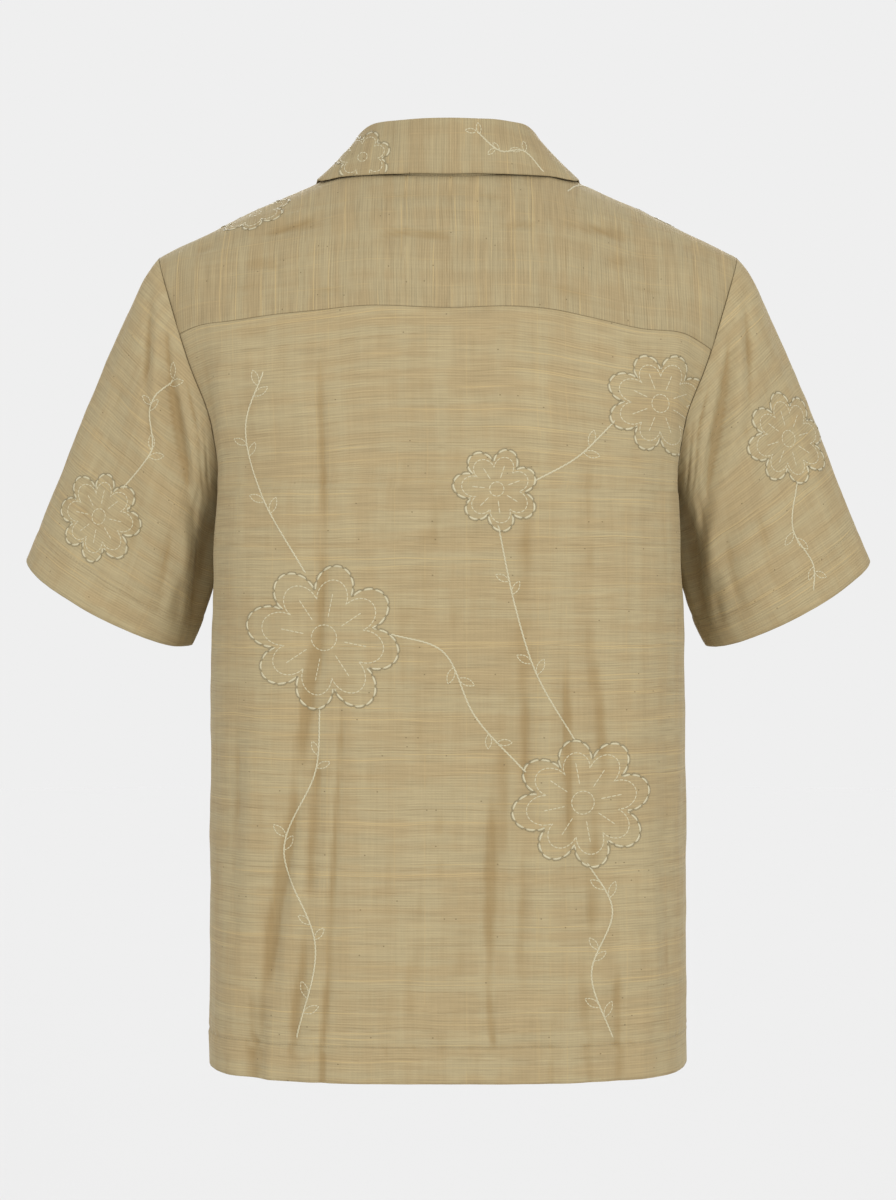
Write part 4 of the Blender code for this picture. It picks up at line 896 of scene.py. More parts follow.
@dataclass
class Shirt:
    """Every cloth piece of the shirt, cut by one set of seams."""

    cutting: Cutting = Cutting()
    drape: Drape = Drape()
    cloth: float = 0.9 * MM
    hem_extra: float = 0.6 * MM
    hem_proud: float = 0.12 * MM
    hem_stitch_sink: float = 0.62 * MM
    sleeve_hem: float = 25 * MM
    flat_overlap: tuple[float, float] = (14 * MM, 22 * MM)
    allowance: float = 9.5 * MM
    allowance_proud: float = 0.38 * MM
    left: Seams = field(init=False)
    right: Seams = field(init=False)

    def __post_init__(self) -> None:
        """Works out the seams of both sides."""
        self.left, self.right = Seams(self.cutting, 1), Seams(self.cutting, -1)

    @property
    def form(self) -> BodyForm:
        """The body's form."""
        return self.cutting.form

    def _grain(self, outer: Array, across: bool, origin: tuple[float, float]) -> Array:
        """Places across and along the stripes.

        Args:
            outer: The piece's grid.
            across: Whether the stripes run across the grid; otherwise they run along it.
            origin: Where the piece's cut starts on the bolt.

        Returns:
            For each grid point, its place across the stripes and along them.
        """
        columns = run_along(outer, 0)
        columns = columns - columns[len(columns) // 2]
        rows = run_along(outer, 1)
        level = np.broadcast_to(rows.mean(0, keepdims=True), rows.shape)
        level = 0.75 * level + 0.25 * rows
        pair = (level, columns) if across else (columns, rows)
        return np.stack(pair, axis=-1) + np.array(origin)

    def _hung_grain(self, grid: Array, plain: Array, origin: tuple[float, float]) -> Array:
        """Places across and along a front's stripes, which lie level as the cloth hangs from the shoulder.

        Args:
            grid: The front's places on the form.
            plain: The points there.
            origin: Where the piece's cut starts on the bolt.

        Returns:
            For each grid point, its place across the stripes and along them.
        """
        form = self.form
        path = form.point(np.full(240, 26.0), np.linspace(RIDGE, FRONT_UNDERARM + 1, 240))
        fallen = run_along(path[:, 1:], 0)
        angles = np.linspace(-SIDE, SIDE, 181)
        around = run_along(form.point(angles, np.full(181, FRONT_UNDERARM)), 0)
        along = np.interp(grid[..., 0], angles, around - around[90])
        along = along * form.half_width(plain[..., 2]) / form.half_waist
        across = -np.interp(-plain[..., 2], -path[:, 2], fallen)
        return np.stack([across, along], axis=-1) + np.array(origin)

    def _panel(
        self, name: str, grid: Array, side: int, mitres: dict[int, Array], seamed: tuple[Edge, ...],
        origin: tuple[float, float], seed: int,
    ) -> ClothPiece:
        """A panel of the body, with its folds, its unevenness and its hem.

        Args:
            name: The piece's name.
            grid: Its places on the form.
            side: 1 on the left front, -1 on the right one and 0 elsewhere.
            mitres: Thickness directions on its first or last columns.
            seamed: Its edges that meet another piece.
            origin: Where its cut starts on the bolt.
            seed: Which unevenness to draw.

        Returns:
            The cloth piece.
        """
        plain = self.form.cloth(grid[..., 0], grid[..., 1], side)
        outer = self.form.cloth(grid[..., 0], grid[..., 1], side, fine=True)
        normal = self.form.normal(grid[..., 0], grid[..., 1])
        grain = self._hung_grain(grid, plain, origin) if side else self._grain(plain, name != "yoke", origin)
        piece = ClothPiece(name, plain, plain, grain, seamed)
        edge = piece.edge_distance()
        flat, ease = self.flat_overlap
        near_middle = smooth((np.abs(outer[..., 0]) - flat) / ease) if side else 1.0
        relief = self.drape.relief(grain, edge, seed) * near_middle
        thickness = np.full(grid.shape[:2], self.cloth)
        stitched = None
        if Edge.FOOT not in seamed:
            height = outer[..., 2] - self.form.hem_height
            over_stitches = height - self.cutting.hem_depth
            in_hem = smooth((0.8 * MM - over_stitches) / (1.4 * MM))
            tuck = 0.30 * MM * uneven(grain, 13 * MM, seed + 9, 5) * bell(over_stitches, 7 * MM)
            relief = relief + self.hem_proud * in_hem + tuck * near_middle
            relief = relief - self.hem_stitch_sink * bell(over_stitches, 1.6 * MM)
            thickness = thickness + self.hem_extra * in_hem
            stitched = np.abs(over_stitches)
        if name == "yoke":
            from_seam = run_along(plain, 1)
            relief = relief + self.allowance_proud * smooth((self.allowance - from_seam) / (2.2 * MM))
        outer = outer + normal * relief[..., None]
        for column, mitre in mitres.items():
            normal[column, -len(mitre):] = mitre
        inner = outer - normal * thickness[..., None]
        return ClothPiece(name, outer, inner, grain, seamed, stitched=stitched)

    def back(self) -> ClothPiece:
        """The back panel, from hem to yoke."""
        columns, rows = self.cutting.back_columns, self.cutting.armhole_rows
        hem, underarm = (line((-SIDE, level), (SIDE, level), columns) for level in (-1, BACK_UNDERARM))
        lower = patch(hem, underarm, self.right.back_side, self.left.back_side)
        upper = patch(underarm, self.cutting.back_yoke_seam(), self.right.back_armhole, self.left.back_armhole)
        grid = np.concatenate([lower, upper[:, 1:]], axis=1)
        mitres = {0: self.right.mitres(0, rows), -1: self.left.mitres(0, rows)}
        seamed = (Edge.START, Edge.END, Edge.TOP)
        return self._panel("back", grid, 0, mitres, seamed, (0.113, 0.350), 11)

    def yoke(self) -> ClothPiece:
        """The yoke, from the back seam over both shoulders to the fronts, cut out round the neck."""
        cut = self.cutting
        neck = self.form.neckline(-cut.yoke_neck_end, cut.yoke_neck_end, cut.neck_columns)
        top = join(self.right.front_yoke[::-1], neck, self.left.front_yoke)
        grid = patch(cut.back_yoke_seam(), top, self.right.yoke_armhole, self.left.yoke_armhole)
        rows = (cut.armhole_rows, cut.armhole_rows + cut.yoke_rows)
        mitres = {0: self.right.mitres(*rows), -1: self.left.mitres(*rows)}
        piece = self._panel("yoke", grid, 0, mitres, tuple(Edge), (0.402, 0.075), 23)
        piece.grain[..., 0] = 0.402 + piece.outer[..., 0]
        return piece

    def front(self, seams: Seams, name: str) -> ClothPiece:
        """One front, from hem to yoke, with its edge at the overlap, the open neck and the neckline.

        Args:
            seams: The seams of its side.
            name: The piece's name.

        Returns:
            The cloth piece.
        """
        cut, form, side = self.cutting, self.form, seams.side
        heights = form.hem_height + (cut.break_height - form.hem_height) * cut.side_levels()
        close = cut.hem_rows + 6
        heights[:close] = form.hem_height + cut.side_levels()[:close] * (form.underarm_height - form.hem_height)
        heights[close - 1:] = np.linspace(heights[close - 1], cut.break_height, len(heights) - close + 1)
        edge = np.array([form.place_in_view(-side * form.overlap, height) for height in heights])
        hem = line(edge[0], seams.front_side[0], cut.front_columns)
        underarm = line(edge[-1], seams.front_side[-1], cut.front_columns)
        underarm[:, 1] += (FRONT_UNDERARM - underarm[:, 1]) * np.linspace(0, 1, cut.front_columns + 1)
        lower = patch(hem, underarm, edge, seams.front_side)
        inner = join(seams.opening, seams.neck[::-1])
        upper = patch(underarm, seams.front_yoke, inner, seams.front_armhole[::-1])
        grid = np.concatenate([lower, upper[:, 1:]], axis=1)
        rows = cut.armhole_rows
        mitre = seams.mitres(rows + cut.yoke_rows, 2 * rows + cut.yoke_rows)[::-1]
        origin = (0.113, 0.760) if side > 0 else (0.137, 1.050)
        piece = self._panel(name, grid, side, {-1: mitre}, (Edge.END, Edge.TOP), origin, 31 + 4 * side)
        # The fronts' creases are broad and open, so less of their painted shade is kept
        piece.crease_shade_share = 0.5
        return piece

    def sleeve(self, seams: Seams, name: str) -> ClothPiece:
        """A set-in sleeve, from the armhole to its hem, with its seam under the arm.

        Args:
            seams: The seams of its side.
            name: The piece's name.

        Returns:
            The cloth piece.
        """
        side = np.array([seams.side, 1.0, 1.0])
        places = seams.ring
        start = self.form.cloth(*places.T, fine=True)
        leaves = sleeve_leaves(places, seams.side)
        steps = np.linalg.norm(np.diff(start, axis=0, append=start[:1]), axis=1)
        run = np.concatenate([[0], np.cumsum(steps)])
        top = run[np.argmin(np.abs(places[:, 1] - RIDGE))]
        turns = np.where(run[:-1] <= top, run[:-1] / top / 2, 0.5 + (run[:-1] - top) / (run[-1] - top) / 2)
        round_hem = math.pi * (1 - 2 * turns)
        centre = np.array([271.0, -30, -345]) * MM
        out, back = np.array([66.3, 0, 33.8]) * MM, np.array([0, 50.2, -13.5]) * MM
        end = (centre + np.outer(np.cos(round_hem), out) + np.outer(np.sin(round_hem), back)) * side
        ends = np.array([0.50, -0.18, -0.87]) + np.outer(np.cos(round_hem), (-0.10, 0, 0))
        reach = np.linalg.norm(end - start, axis=1, keepdims=True)
        # Close rows at the hem's stitching, which lies in SLEEVE_STITCH_ROW
        stitched = 1 - self.sleeve_hem / reach.mean() + np.array([-0.008, -0.003, 0.002, 0.007])
        drops = np.concatenate([
            np.linspace(0, stitched[0] - 0.012, 62), stitched, np.linspace(stitched[-1] + 0.012, 1, 8)
        ])
        ways = (start, leaves * reach * 0.44, end, unit(ends * side) * reach)
        grid = bow(drops[None, :, None], *(way[:, None] for way in ways))
        around = np.roll(grid, -1, axis=0) - np.roll(grid, 1, axis=0)
        normal = unit(np.cross(around, np.gradient(grid, axis=1))) * seams.side
        grain = self._sleeve_grain(grid, turns, seams.side)
        seamed = (Edge.FOOT,)
        edge = ClothPiece(name, grid, grid, grain, seamed).edge_distance()
        folds = sleeve_relief(turns[:, None], drops[None, :], SLEEVE_FOLDS + SLEEVE_CREASES)
        to_hem = run_along(grid, 1)
        to_hem = to_hem[:, -1:] - to_hem
        over_stitches = to_hem - self.sleeve_hem
        in_hem = smooth((0.8 * MM - over_stitches) / (1.4 * MM))
        relief = self.drape.relief(grain, edge, 53 + seams.side)
        relief += self.hem_proud * in_hem - 0.8 * self.hem_stitch_sink * bell(over_stitches, 1.3 * MM)
        under = np.minimum(turns, 1 - turns) * float(run[-1])
        relief = relief - 0.5 * MM * bell(under, 1.5 * MM)[:, None] * smooth(drops / 0.1)[None, :]
        outer = grid + normal * (folds + relief)[..., None]
        outer[:, 0] = start + leaves * 0.15 * MM
        thickness = self.cloth + self.hem_extra * in_hem
        direction = normal.copy()
        direction[:, 0] = seams.sleeve_mitre
        inner = outer - direction * thickness[..., None]
        return ClothPiece(name, outer, inner, grain, seamed, ring=True, stitched=np.abs(over_stitches))

    @staticmethod
    def _sleeve_grain(grid: Array, turns: Array, side: int) -> Array:
        """Places across and along a sleeve's stripes, which run round it, square to its axis."""
        rows = run_along(grid, 1)
        level = np.broadcast_to(rows.mean(0, keepdims=True), rows.shape)
        axis = unit(np.array([side * 0.50, -0.10, -0.86]))
        planes = grid @ axis
        planes = planes - planes.mean(0)[0]
        around = run_along(grid, 0).mean(1)
        spin = np.broadcast_to((around - around[len(around) // 2])[:, None], rows.shape)
        return np.stack([0.30 * level + 0.70 * planes + 0.233, spin + 0.51 + 0.2 * side], axis=-1)


def sleeve_relief(turns: Array, drops: Array, folds: Sequence[SleeveFold]) -> Array:
    """How far a sleeve's folds move its points outwards."""
    relief = np.zeros(np.broadcast(turns, drops).shape)
    for fold in folds:
        run = (drops - fold.top_drop) / (fold.low_drop - fold.top_drop)
        middle = fold.top_turn + (fold.low_turn - fold.top_turn) * np.clip(run, 0, 1)
        ends = smooth(run / 0.4) * smooth((1 - run) / 0.4)
        relief += fold.depth * bell(turns - middle, fold.half_width) * ends
    return relief * smooth(drops / 0.15)


@dataclass
class CollarAndLapels:
    """The camp collar, and the facings where they turn out of the open neck."""

    shirt: Shirt
    notch: tuple[float, float] = (78 * MM, -82 * MM)
    collar_point: tuple[float, float] = (112 * MM, -92 * MM)
    lapel_point: tuple[float, float] = (98 * MM, -113 * MM)
    right_break: float = -7 * MM
    start_width: float = 3 * MM
    bow: float = 3 * MM
    lapel_stand: float = 1.2 * MM
    roll_radius: float = 1.2 * MM
    edge_clearance: float = 0.8 * MM
    seam_gap: float = 0.3 * MM
    stand_steps: int = 10
    roll_steps: int = 10
    gorge_steps: int = 22
    point_steps: int = 11
    collar_cloth: float = 1.3 * MM
    lapel_cloth: float = 1.1 * MM
    wave_height: float = 0.22 * MM
    wave_length: float = 26 * MM
    free_from: float = 30 * MM
    # Angle in plan, stand, lean outwards, roll radius and clearance, in degrees and millimetres
    sections: tuple[tuple[float, ...], ...] = (
        (0, 40.6, 0.12, 2.4, 2.3), (30, 39.5, 0.24, 2.3, 2.3), (45, 36.1, 0.30, 2.2, 1.8),
        (60, 31.5, 0.37, 2.1, 1.4), (75, 23.9, 0.44, 1.9, 1.0), (90, 16.4, 0.50, 1.8, 0.9),
        (110, 10.4, 0.40, 1.5, 1.3), (128, 1.2, 0.30, 1.2, 1.3),
    )
    # Angle in plan, and the plan place of the fall's edge, across and back, in millimetres
    edges: tuple[tuple[float, ...], ...] = (
        (0, 0, 69), (20, 33.9, 63), (40, 62.4, 51.5), (55, 81.3, 40), (68, 93.3, 32), (80, 99.8, 22),
        (90, 102.6, 0),
    )

    @staticmethod
    def _by_angle(rows: Sequence[Sequence[float]], column: int, at: float, mirrored: float = 1.0) -> float:
        """A table's column read at an angle, with the table continued past 0 as its own mirror image."""
        places = [-row[0] for row in rows[:0:-1]] + [row[0] for row in rows]
        values = [mirrored * row[column] for row in rows[:0:-1]] + [row[column] for row in rows]
        return float(curve_through(places, values, at))

    def _on_front(self, view: Array, clearance: Array, side: int) -> Array:
        """Points over a front, at places in the front view, moved out by a clearance."""
        form = self.shirt.form
        places = np.array([form.place_in_view(x, z) for x, z in view])
        return form.cloth(*places.T, side) + form.normal(*places.T) * np.reshape(clearance, (-1, 1))

    def _roll(self, start: Array, rise: Array, out: Array, radius: float) -> list[Array]:
        """A half turn of a sheet, from its rise over to the outside."""
        turns = np.radians(np.linspace(0, 180, self.roll_steps + 1))
        return [start + radius * out * (1 - math.cos(turn)) + radius * rise * math.sin(turn) for turn in turns]

    def _opening_frame(self, seams: Seams) -> tuple[Array, Array, Array]:
        """Along an open neck's edge: its points, the form's normals and the directions into the opening."""
        form = self.shirt.form
        points = form.cloth(*seams.opening.T, seams.side)
        normal = form.normal(*seams.opening.T)
        along = np.gradient(points, axis=0)
        return points, normal, unit(np.cross(normal, along)) * seams.side

    def _fall_run(self, corner: float) -> Array:
        """Shares along a fall, with its gorge cells before a corner and the others past it."""
        return np.concatenate([
            np.linspace(0, corner, self.gorge_steps + 1)[1:], np.linspace(corner, 1, self.point_steps + 1)[1:]
        ])

    def _past_notch(self, start: Array, notch: Array, point: Array) -> tuple[float, Array, Array]:
        """Places over a front, from an open neck's edge by way of the notch to a piece's own point."""
        corner = math.dist(start, notch) / (math.dist(start, notch) + math.dist(notch, point))
        run = self._fall_run(corner)
        view = np.stack([np.interp(run, [0, corner, 1], [start[k], notch[k], point[k]]) for k in (0, 1)], axis=1)
        to_notch = np.clip(run / corner, 0, 1)
        turned = 2 * self.roll_radius
        return corner, view, turned + (self.edge_clearance - turned) * to_notch

    def _gorge(self, seams: Seams) -> dict[str, Array]:
        """Where collar and lapel meet: directions at the open neck's top, and the collar's path."""
        edge, normal, into = self._opening_frame(seams)
        flip = np.array([seams.side, 1.0])
        notch, point = np.array(self.notch) * flip, np.array(self.collar_point) * flip
        _, view, clearance = self._past_notch(edge[-1][[0, 2]], notch, point)
        path = self._on_front(view, clearance, seams.side)
        leave = edge[-1] + self.lapel_stand * into[-1] + 2 * self.roll_radius * normal[-1]
        across = unit(np.cross(normal[-1], path[self.gorge_steps - 1] - leave))
        return {"into": into[-1], "normal": normal[-1], "across": across, "path": path, "leave": leave}

    def _turned_sheet(
        self, name: str, concave: Array, first: Array, thickness: float, away: Array, gorges: dict[int, Array],
        origin: tuple[float, float], fold: Optional[Array] = None,
    ) -> ClothPiece:
        """A sheet that turns over: its concave face, and its shown face moved away from that.

        Args:
            name: The piece's name.
            concave: The face that lies inside the turn.
            first: Thickness directions on its first row.
            thickness: The cloth's thickness.
            away: Directions in which the thickness mustn't point.
            gorges: Directions across the gorge, for the columns that meet there.
            origin: Where the piece's cut starts on the bolt.
            fold: The fold line's two ends in the front view, where level stripes are turned over along it.

        Returns:
            The cloth piece.
        """
        normal = unit(np.cross(np.gradient(concave, axis=0), np.gradient(concave, axis=1)))
        if (normal[:, 1] * away).sum() < 0:
            normal = -normal
        normal[:, 0] = first
        for row, across in gorges.items():
            normal[row] = unit(normal[row] - (normal[row] @ across)[:, None] * across)
        across_run, along_run = run_along(concave, 0), run_along(concave, 1)
        across_run = across_run - across_run[len(across_run) // 2]
        grain = np.stack([across_run, along_run], axis=-1)
        if fold is not None:
            view = concave[..., [0, 2]] - fold[0]
            heading = unit(fold[1] - fold[0])
            grain = (2 * (view @ heading)[..., None] * heading - view)[..., ::-1]
        grain = grain + np.array(origin)
        free = smooth(along_run / self.free_from)
        # The name's length tells one piece's unevenness from another's
        wave = self.wave_height * uneven(grain, self.wave_length, len(name), 6) * free
        shown = concave + normal * (thickness + np.clip(wave, -0.2 * MM, None))[..., None]
        hidden = concave + normal * np.clip(wave, 0, None)[..., None]
        seamed = (Edge.FOOT, Edge.START, Edge.END) if name == "collar" else (Edge.FOOT, Edge.END)
        return ClothPiece(name, shown, hidden, grain, seamed, seam_gap=0.0)

    def lapel(self, seams: Seams, name: str) -> ClothPiece:
        """The facing where it turns out of the open neck and lies on the front."""
        side = seams.side
        edge, normal, into = self._opening_frame(seams)
        edge_view = edge[:, [0, 2]]
        rows = self.shirt.cutting.lapel_rows
        shares = np.linspace(0, 1, rows + 1)
        first = 0 if side > 0 else int(np.argmax(edge_view[:, 0] <= self.right_break))
        flip = np.array([side, 1.0])
        point, notch = np.array(self.lapel_point) * flip, np.array(self.notch) * flip
        corner, last, clearance = self._past_notch(edge_view[-1], notch, point)
        run = self._fall_run(corner)[:, None]
        bend = last - (1 - run) * edge_view[-1] - run * point
        begin = edge_view[first] - unit(into[first][[0, 2]]) * self.start_width
        lines = []
        for i in range(first, rows + 1):
            share = (shares[i] - shares[first]) / (1 - shares[first])
            bow = np.array([side, -1]) * self.bow * math.sin(math.pi * share)
            far = (1 - share) * begin + share * point + bow
            foot = edge[i] + into[i] * self.seam_gap
            turned = self._roll(foot + into[i] * self.lapel_stand, into[i], normal[i], self.roll_radius)
            view = (1 - run) * edge_view[i] + run * far + bend * share**3
            lines.append(np.concatenate([[foot], turned, self._on_front(view, clearance, side)]))
        grid = np.array(lines)
        grid[-1] += unit(grid[-2] - grid[-1]) * self.seam_gap
        gorges = {-1: self._gorge(seams)["across"]}
        origin = (0.30 + 0.11 * side, 0.62)
        return self._turned_sheet(
            name, grid, -normal[first:], self.lapel_cloth, -normal[first:], gorges, origin, edge_view[[0, -1]]
        )

    def _collar_section(self, angle: float, gorge: dict[str, Array]) -> tuple[Array, Array, Array]:
        """One section of the collar, from the neck seam up, over the roll and down to its edge."""
        form = self.shirt.form
        place = form.neck_place(angle)
        side, at = math.copysign(1, angle), abs(angle)
        last_angle = self.shirt.cutting.gorge_angle
        seam, normal = form.point(*place), form.normal(*place)
        stand, lean, radius, clearance = (self._by_angle(self.sections, column, at) for column in range(1, 5))
        stand, radius, clearance = stand * MM, radius * MM, clearance * MM
        reach = form.neck_back if at < 90 else form.neck_front
        outward = unit([seam[0] / form.neck_half_width**2, seam[1] / reach**2, 0])
        ahead = smooth((at - 80) / (last_angle - 80))
        rise = unit((1 - ahead) * unit(UP - lean * outward) + ahead * gorge["into"])
        out = (1 - ahead) * outward + ahead * gorge["normal"]
        out = unit(out - rise * (out @ rise))
        foot = seam + rise * self.seam_gap
        top = foot + rise * max(stand, 0)
        standing = [foot + (top - foot) * share for share in np.linspace(0, 1, self.stand_steps + 1)[:-1]]
        turned = self._roll(top, rise, out, radius)
        past_side = (at - 90) / (last_angle - 90)
        if past_side <= 0:
            across, behind = self._by_angle(self.edges, 1, at, -1.0), self._by_angle(self.edges, 2, at)
            edge_place = form.place_in_plan(side * across * MM, max(behind, 0) * MM)
        else:
            point_y = form.point(*form.place_in_view(*self.collar_point))[1]
            beside = self.edges[-1][1] * MM
            across = beside + (self.collar_point[0] - beside) * past_side
            edge_place = form.place_in_plan(side * across, point_y * past_side)
        edge = form.point(*edge_place) + form.normal(*edge_place) * clearance
        run = self._fall_run(2 / 3)[:, None]
        leave = turned[-1]
        pull = np.linalg.norm(edge - leave) * (0.60 - 0.42 * smooth(at / 75))
        fall = bow(run, leave, -rise * pull, edge, edge - leave)
        bent = gorge["path"] + (leave - gorge["leave"]) * (1 - run) + (edge - gorge["path"][-1]) * run
        weight = np.clip((past_side - 0.3) / 0.7, 0, 1) ** 2
        fall = form.lifted((1 - weight) * fall + weight * bent, clearance)
        return np.concatenate([standing, turned, fall]), normal, outward

    def collar(self) -> ClothPiece:
        """The collar in one piece, from one gorge round the neck to the other."""
        cut = self.shirt.cutting
        neck = np.linspace(-cut.yoke_neck_end, cut.yoke_neck_end, cut.neck_columns + 1)
        ends = np.linspace(cut.yoke_neck_end, cut.gorge_angle, cut.neck_rows + 1)[1:]
        angles = np.concatenate([-ends[::-1], neck, ends])
        frames = {1: self._gorge(self.shirt.left), -1: self._gorge(self.shirt.right)}
        sections = [self._collar_section(angle, frames[1 if angle >= 0 else -1]) for angle in angles]
        grid, normals, outwards = (np.array(column) for column in zip(*sections))
        for edge, inner in ((0, 1), (-1, -2)):
            grid[edge] += unit(grid[inner] - grid[edge]) * self.seam_gap
        gorges = {0: frames[-1]["across"], -1: frames[1]["across"]}
        return self._turned_sheet("collar", grid, -normals, self.collar_cloth, -outwards, gorges, (0.917, 0.31))


# Threads laid on the cloth


@dataclass(frozen=True)
class Outlook:
    """A flat sheet of paper held in front of the shirt, on which a design is drawn before it is stitched."""

    origin: tuple[float, float, float]
    across: tuple[float, float, float]
    up: tuple[float, float, float]
    outwards: tuple[float, float, float]

    def place(self, drawn: Array) -> Array:
        """Points in space for places drawn in millimetres."""
        flat = np.asarray(drawn, float) * MM
        return np.array(self.origin) + flat[:, :1] * unit(self.across) + flat[:, 1:] * unit(self.up)


@dataclass
class Run:
    """A stretch of thread on the cloth: points of the cloth's face and its normals, evenly spaced."""

    points: Array
    normals: Array

    def length(self) -> float:
        """How long the stretch is."""
        return float(run_along(self.points, 0)[-1])


# The least cosine at which thread is laid, and the widest step along one run
EDGE_ON, FOLD_JUMP = 0.08, 6 * MM


class ClothFace:
    """The shown face of a cloth piece, onto which designs are laid."""

    def __init__(self, piece: ClothPiece) -> None:
        """Reads the face of a piece.

        Args:
            piece: The cloth piece.
        """
        grid = piece.pull_in(piece.outer)
        if piece.ring:
            grid = np.concatenate([grid, grid[:1]])
        self.cells = quads(np.arange(grid[..., 0].size).reshape(grid.shape[:2]))
        normals = unit(np.cross(np.gradient(grid, axis=0), np.gradient(grid, axis=1)))
        thick = piece.outer - piece.inner
        self.grid, self.grid_normals = grid, normals * np.sign((normals[:len(thick)] * thick).sum())
        self.normals = self.grid_normals.reshape(-1, 3)
        self.tree = BVHTree.FromPolygons(grid.reshape(-1, 3).tolist(), self.cells.tolist())

    def lay(self, drawn: Array, outlook: Outlook, spacing: float = 0.8 * MM) -> list[Run]:
        """Lays a drawn line on the face, dropping what falls beside it.

        Args:
            drawn: Places in millimetres on the outlook.
            outlook: The sheet on which they are drawn.
            spacing: How far apart the points of a run are.

        Returns:
            The stretches that lie on the face.
        """
        steps = run_along(np.asarray(drawn, float), 0)
        even = np.arange(0, steps[-1], spacing / MM)
        fine = np.stack([np.interp(even, steps, column) for column in np.asarray(drawn, float).T], axis=1)
        away = Vector(unit(outlook.outwards))
        found: list[list[tuple[Array, Array]]] = [[]]
        for start in outlook.place(fine):
            hit, _, index, _ = self.tree.ray_cast(Vector(start) + away * 0.4, -away, 0.9)
            normal = None if hit is None else self.normals[self.cells[index]].mean(0)
            # A run breaks off where the cloth ends, turns edge on or jumps to another fold
            missed = normal is None or normal @ np.array(away) < EDGE_ON
            if missed or (found[-1] and np.linalg.norm(found[-1][-1][0] - np.array(hit)) > FOLD_JUMP):
                found.append([])
            if not missed:
                found[-1].append((np.array(hit), normal))
        return [self._even_run(stretch, spacing) for stretch in found if len(stretch) > 5]

    def row(self, index: int, spacing: float = 0.8 * MM) -> Run:
        """A run along one row of the piece's grid."""
        pairs = list(zip(self.grid[:, index], self.grid_normals[:, index]))
        return self._even_run(pairs, spacing)

    @staticmethod
    def _even_run(pairs: list[tuple[Array, Array]], spacing: float) -> Run:
        """A run with evenly spaced points and softened normals."""
        points, normals = (np.array(column) for column in zip(*pairs))
        steps = run_along(points, 0)
        even = np.arange(0, steps[-1], spacing)
        points = np.stack([np.interp(even, steps, column) for column in points.T], axis=1)
        normals = np.stack([np.interp(even, steps, column) for column in normals.T], axis=1)
        weights = np.ones(7) / 7
        padded = np.pad(normals, ((3, 3), (0, 0)), mode="edge")
        normals = np.stack([np.convolve(column, weights, "valid") for column in padded.T], axis=1)
        return Run(points, unit(normals))


@dataclass(frozen=True)
class Stitch:
    """How one kind of stitch lies: its sizes in millimetres."""

    length: float
    gap: float
    width: float
    height: float
    slant: float = 0.0
    offset: float = 0.0
    arch: float = 0.15
    sink: float = 0.05
    sway: float = 0.0
    rings: int = 5
    sides: int = 6


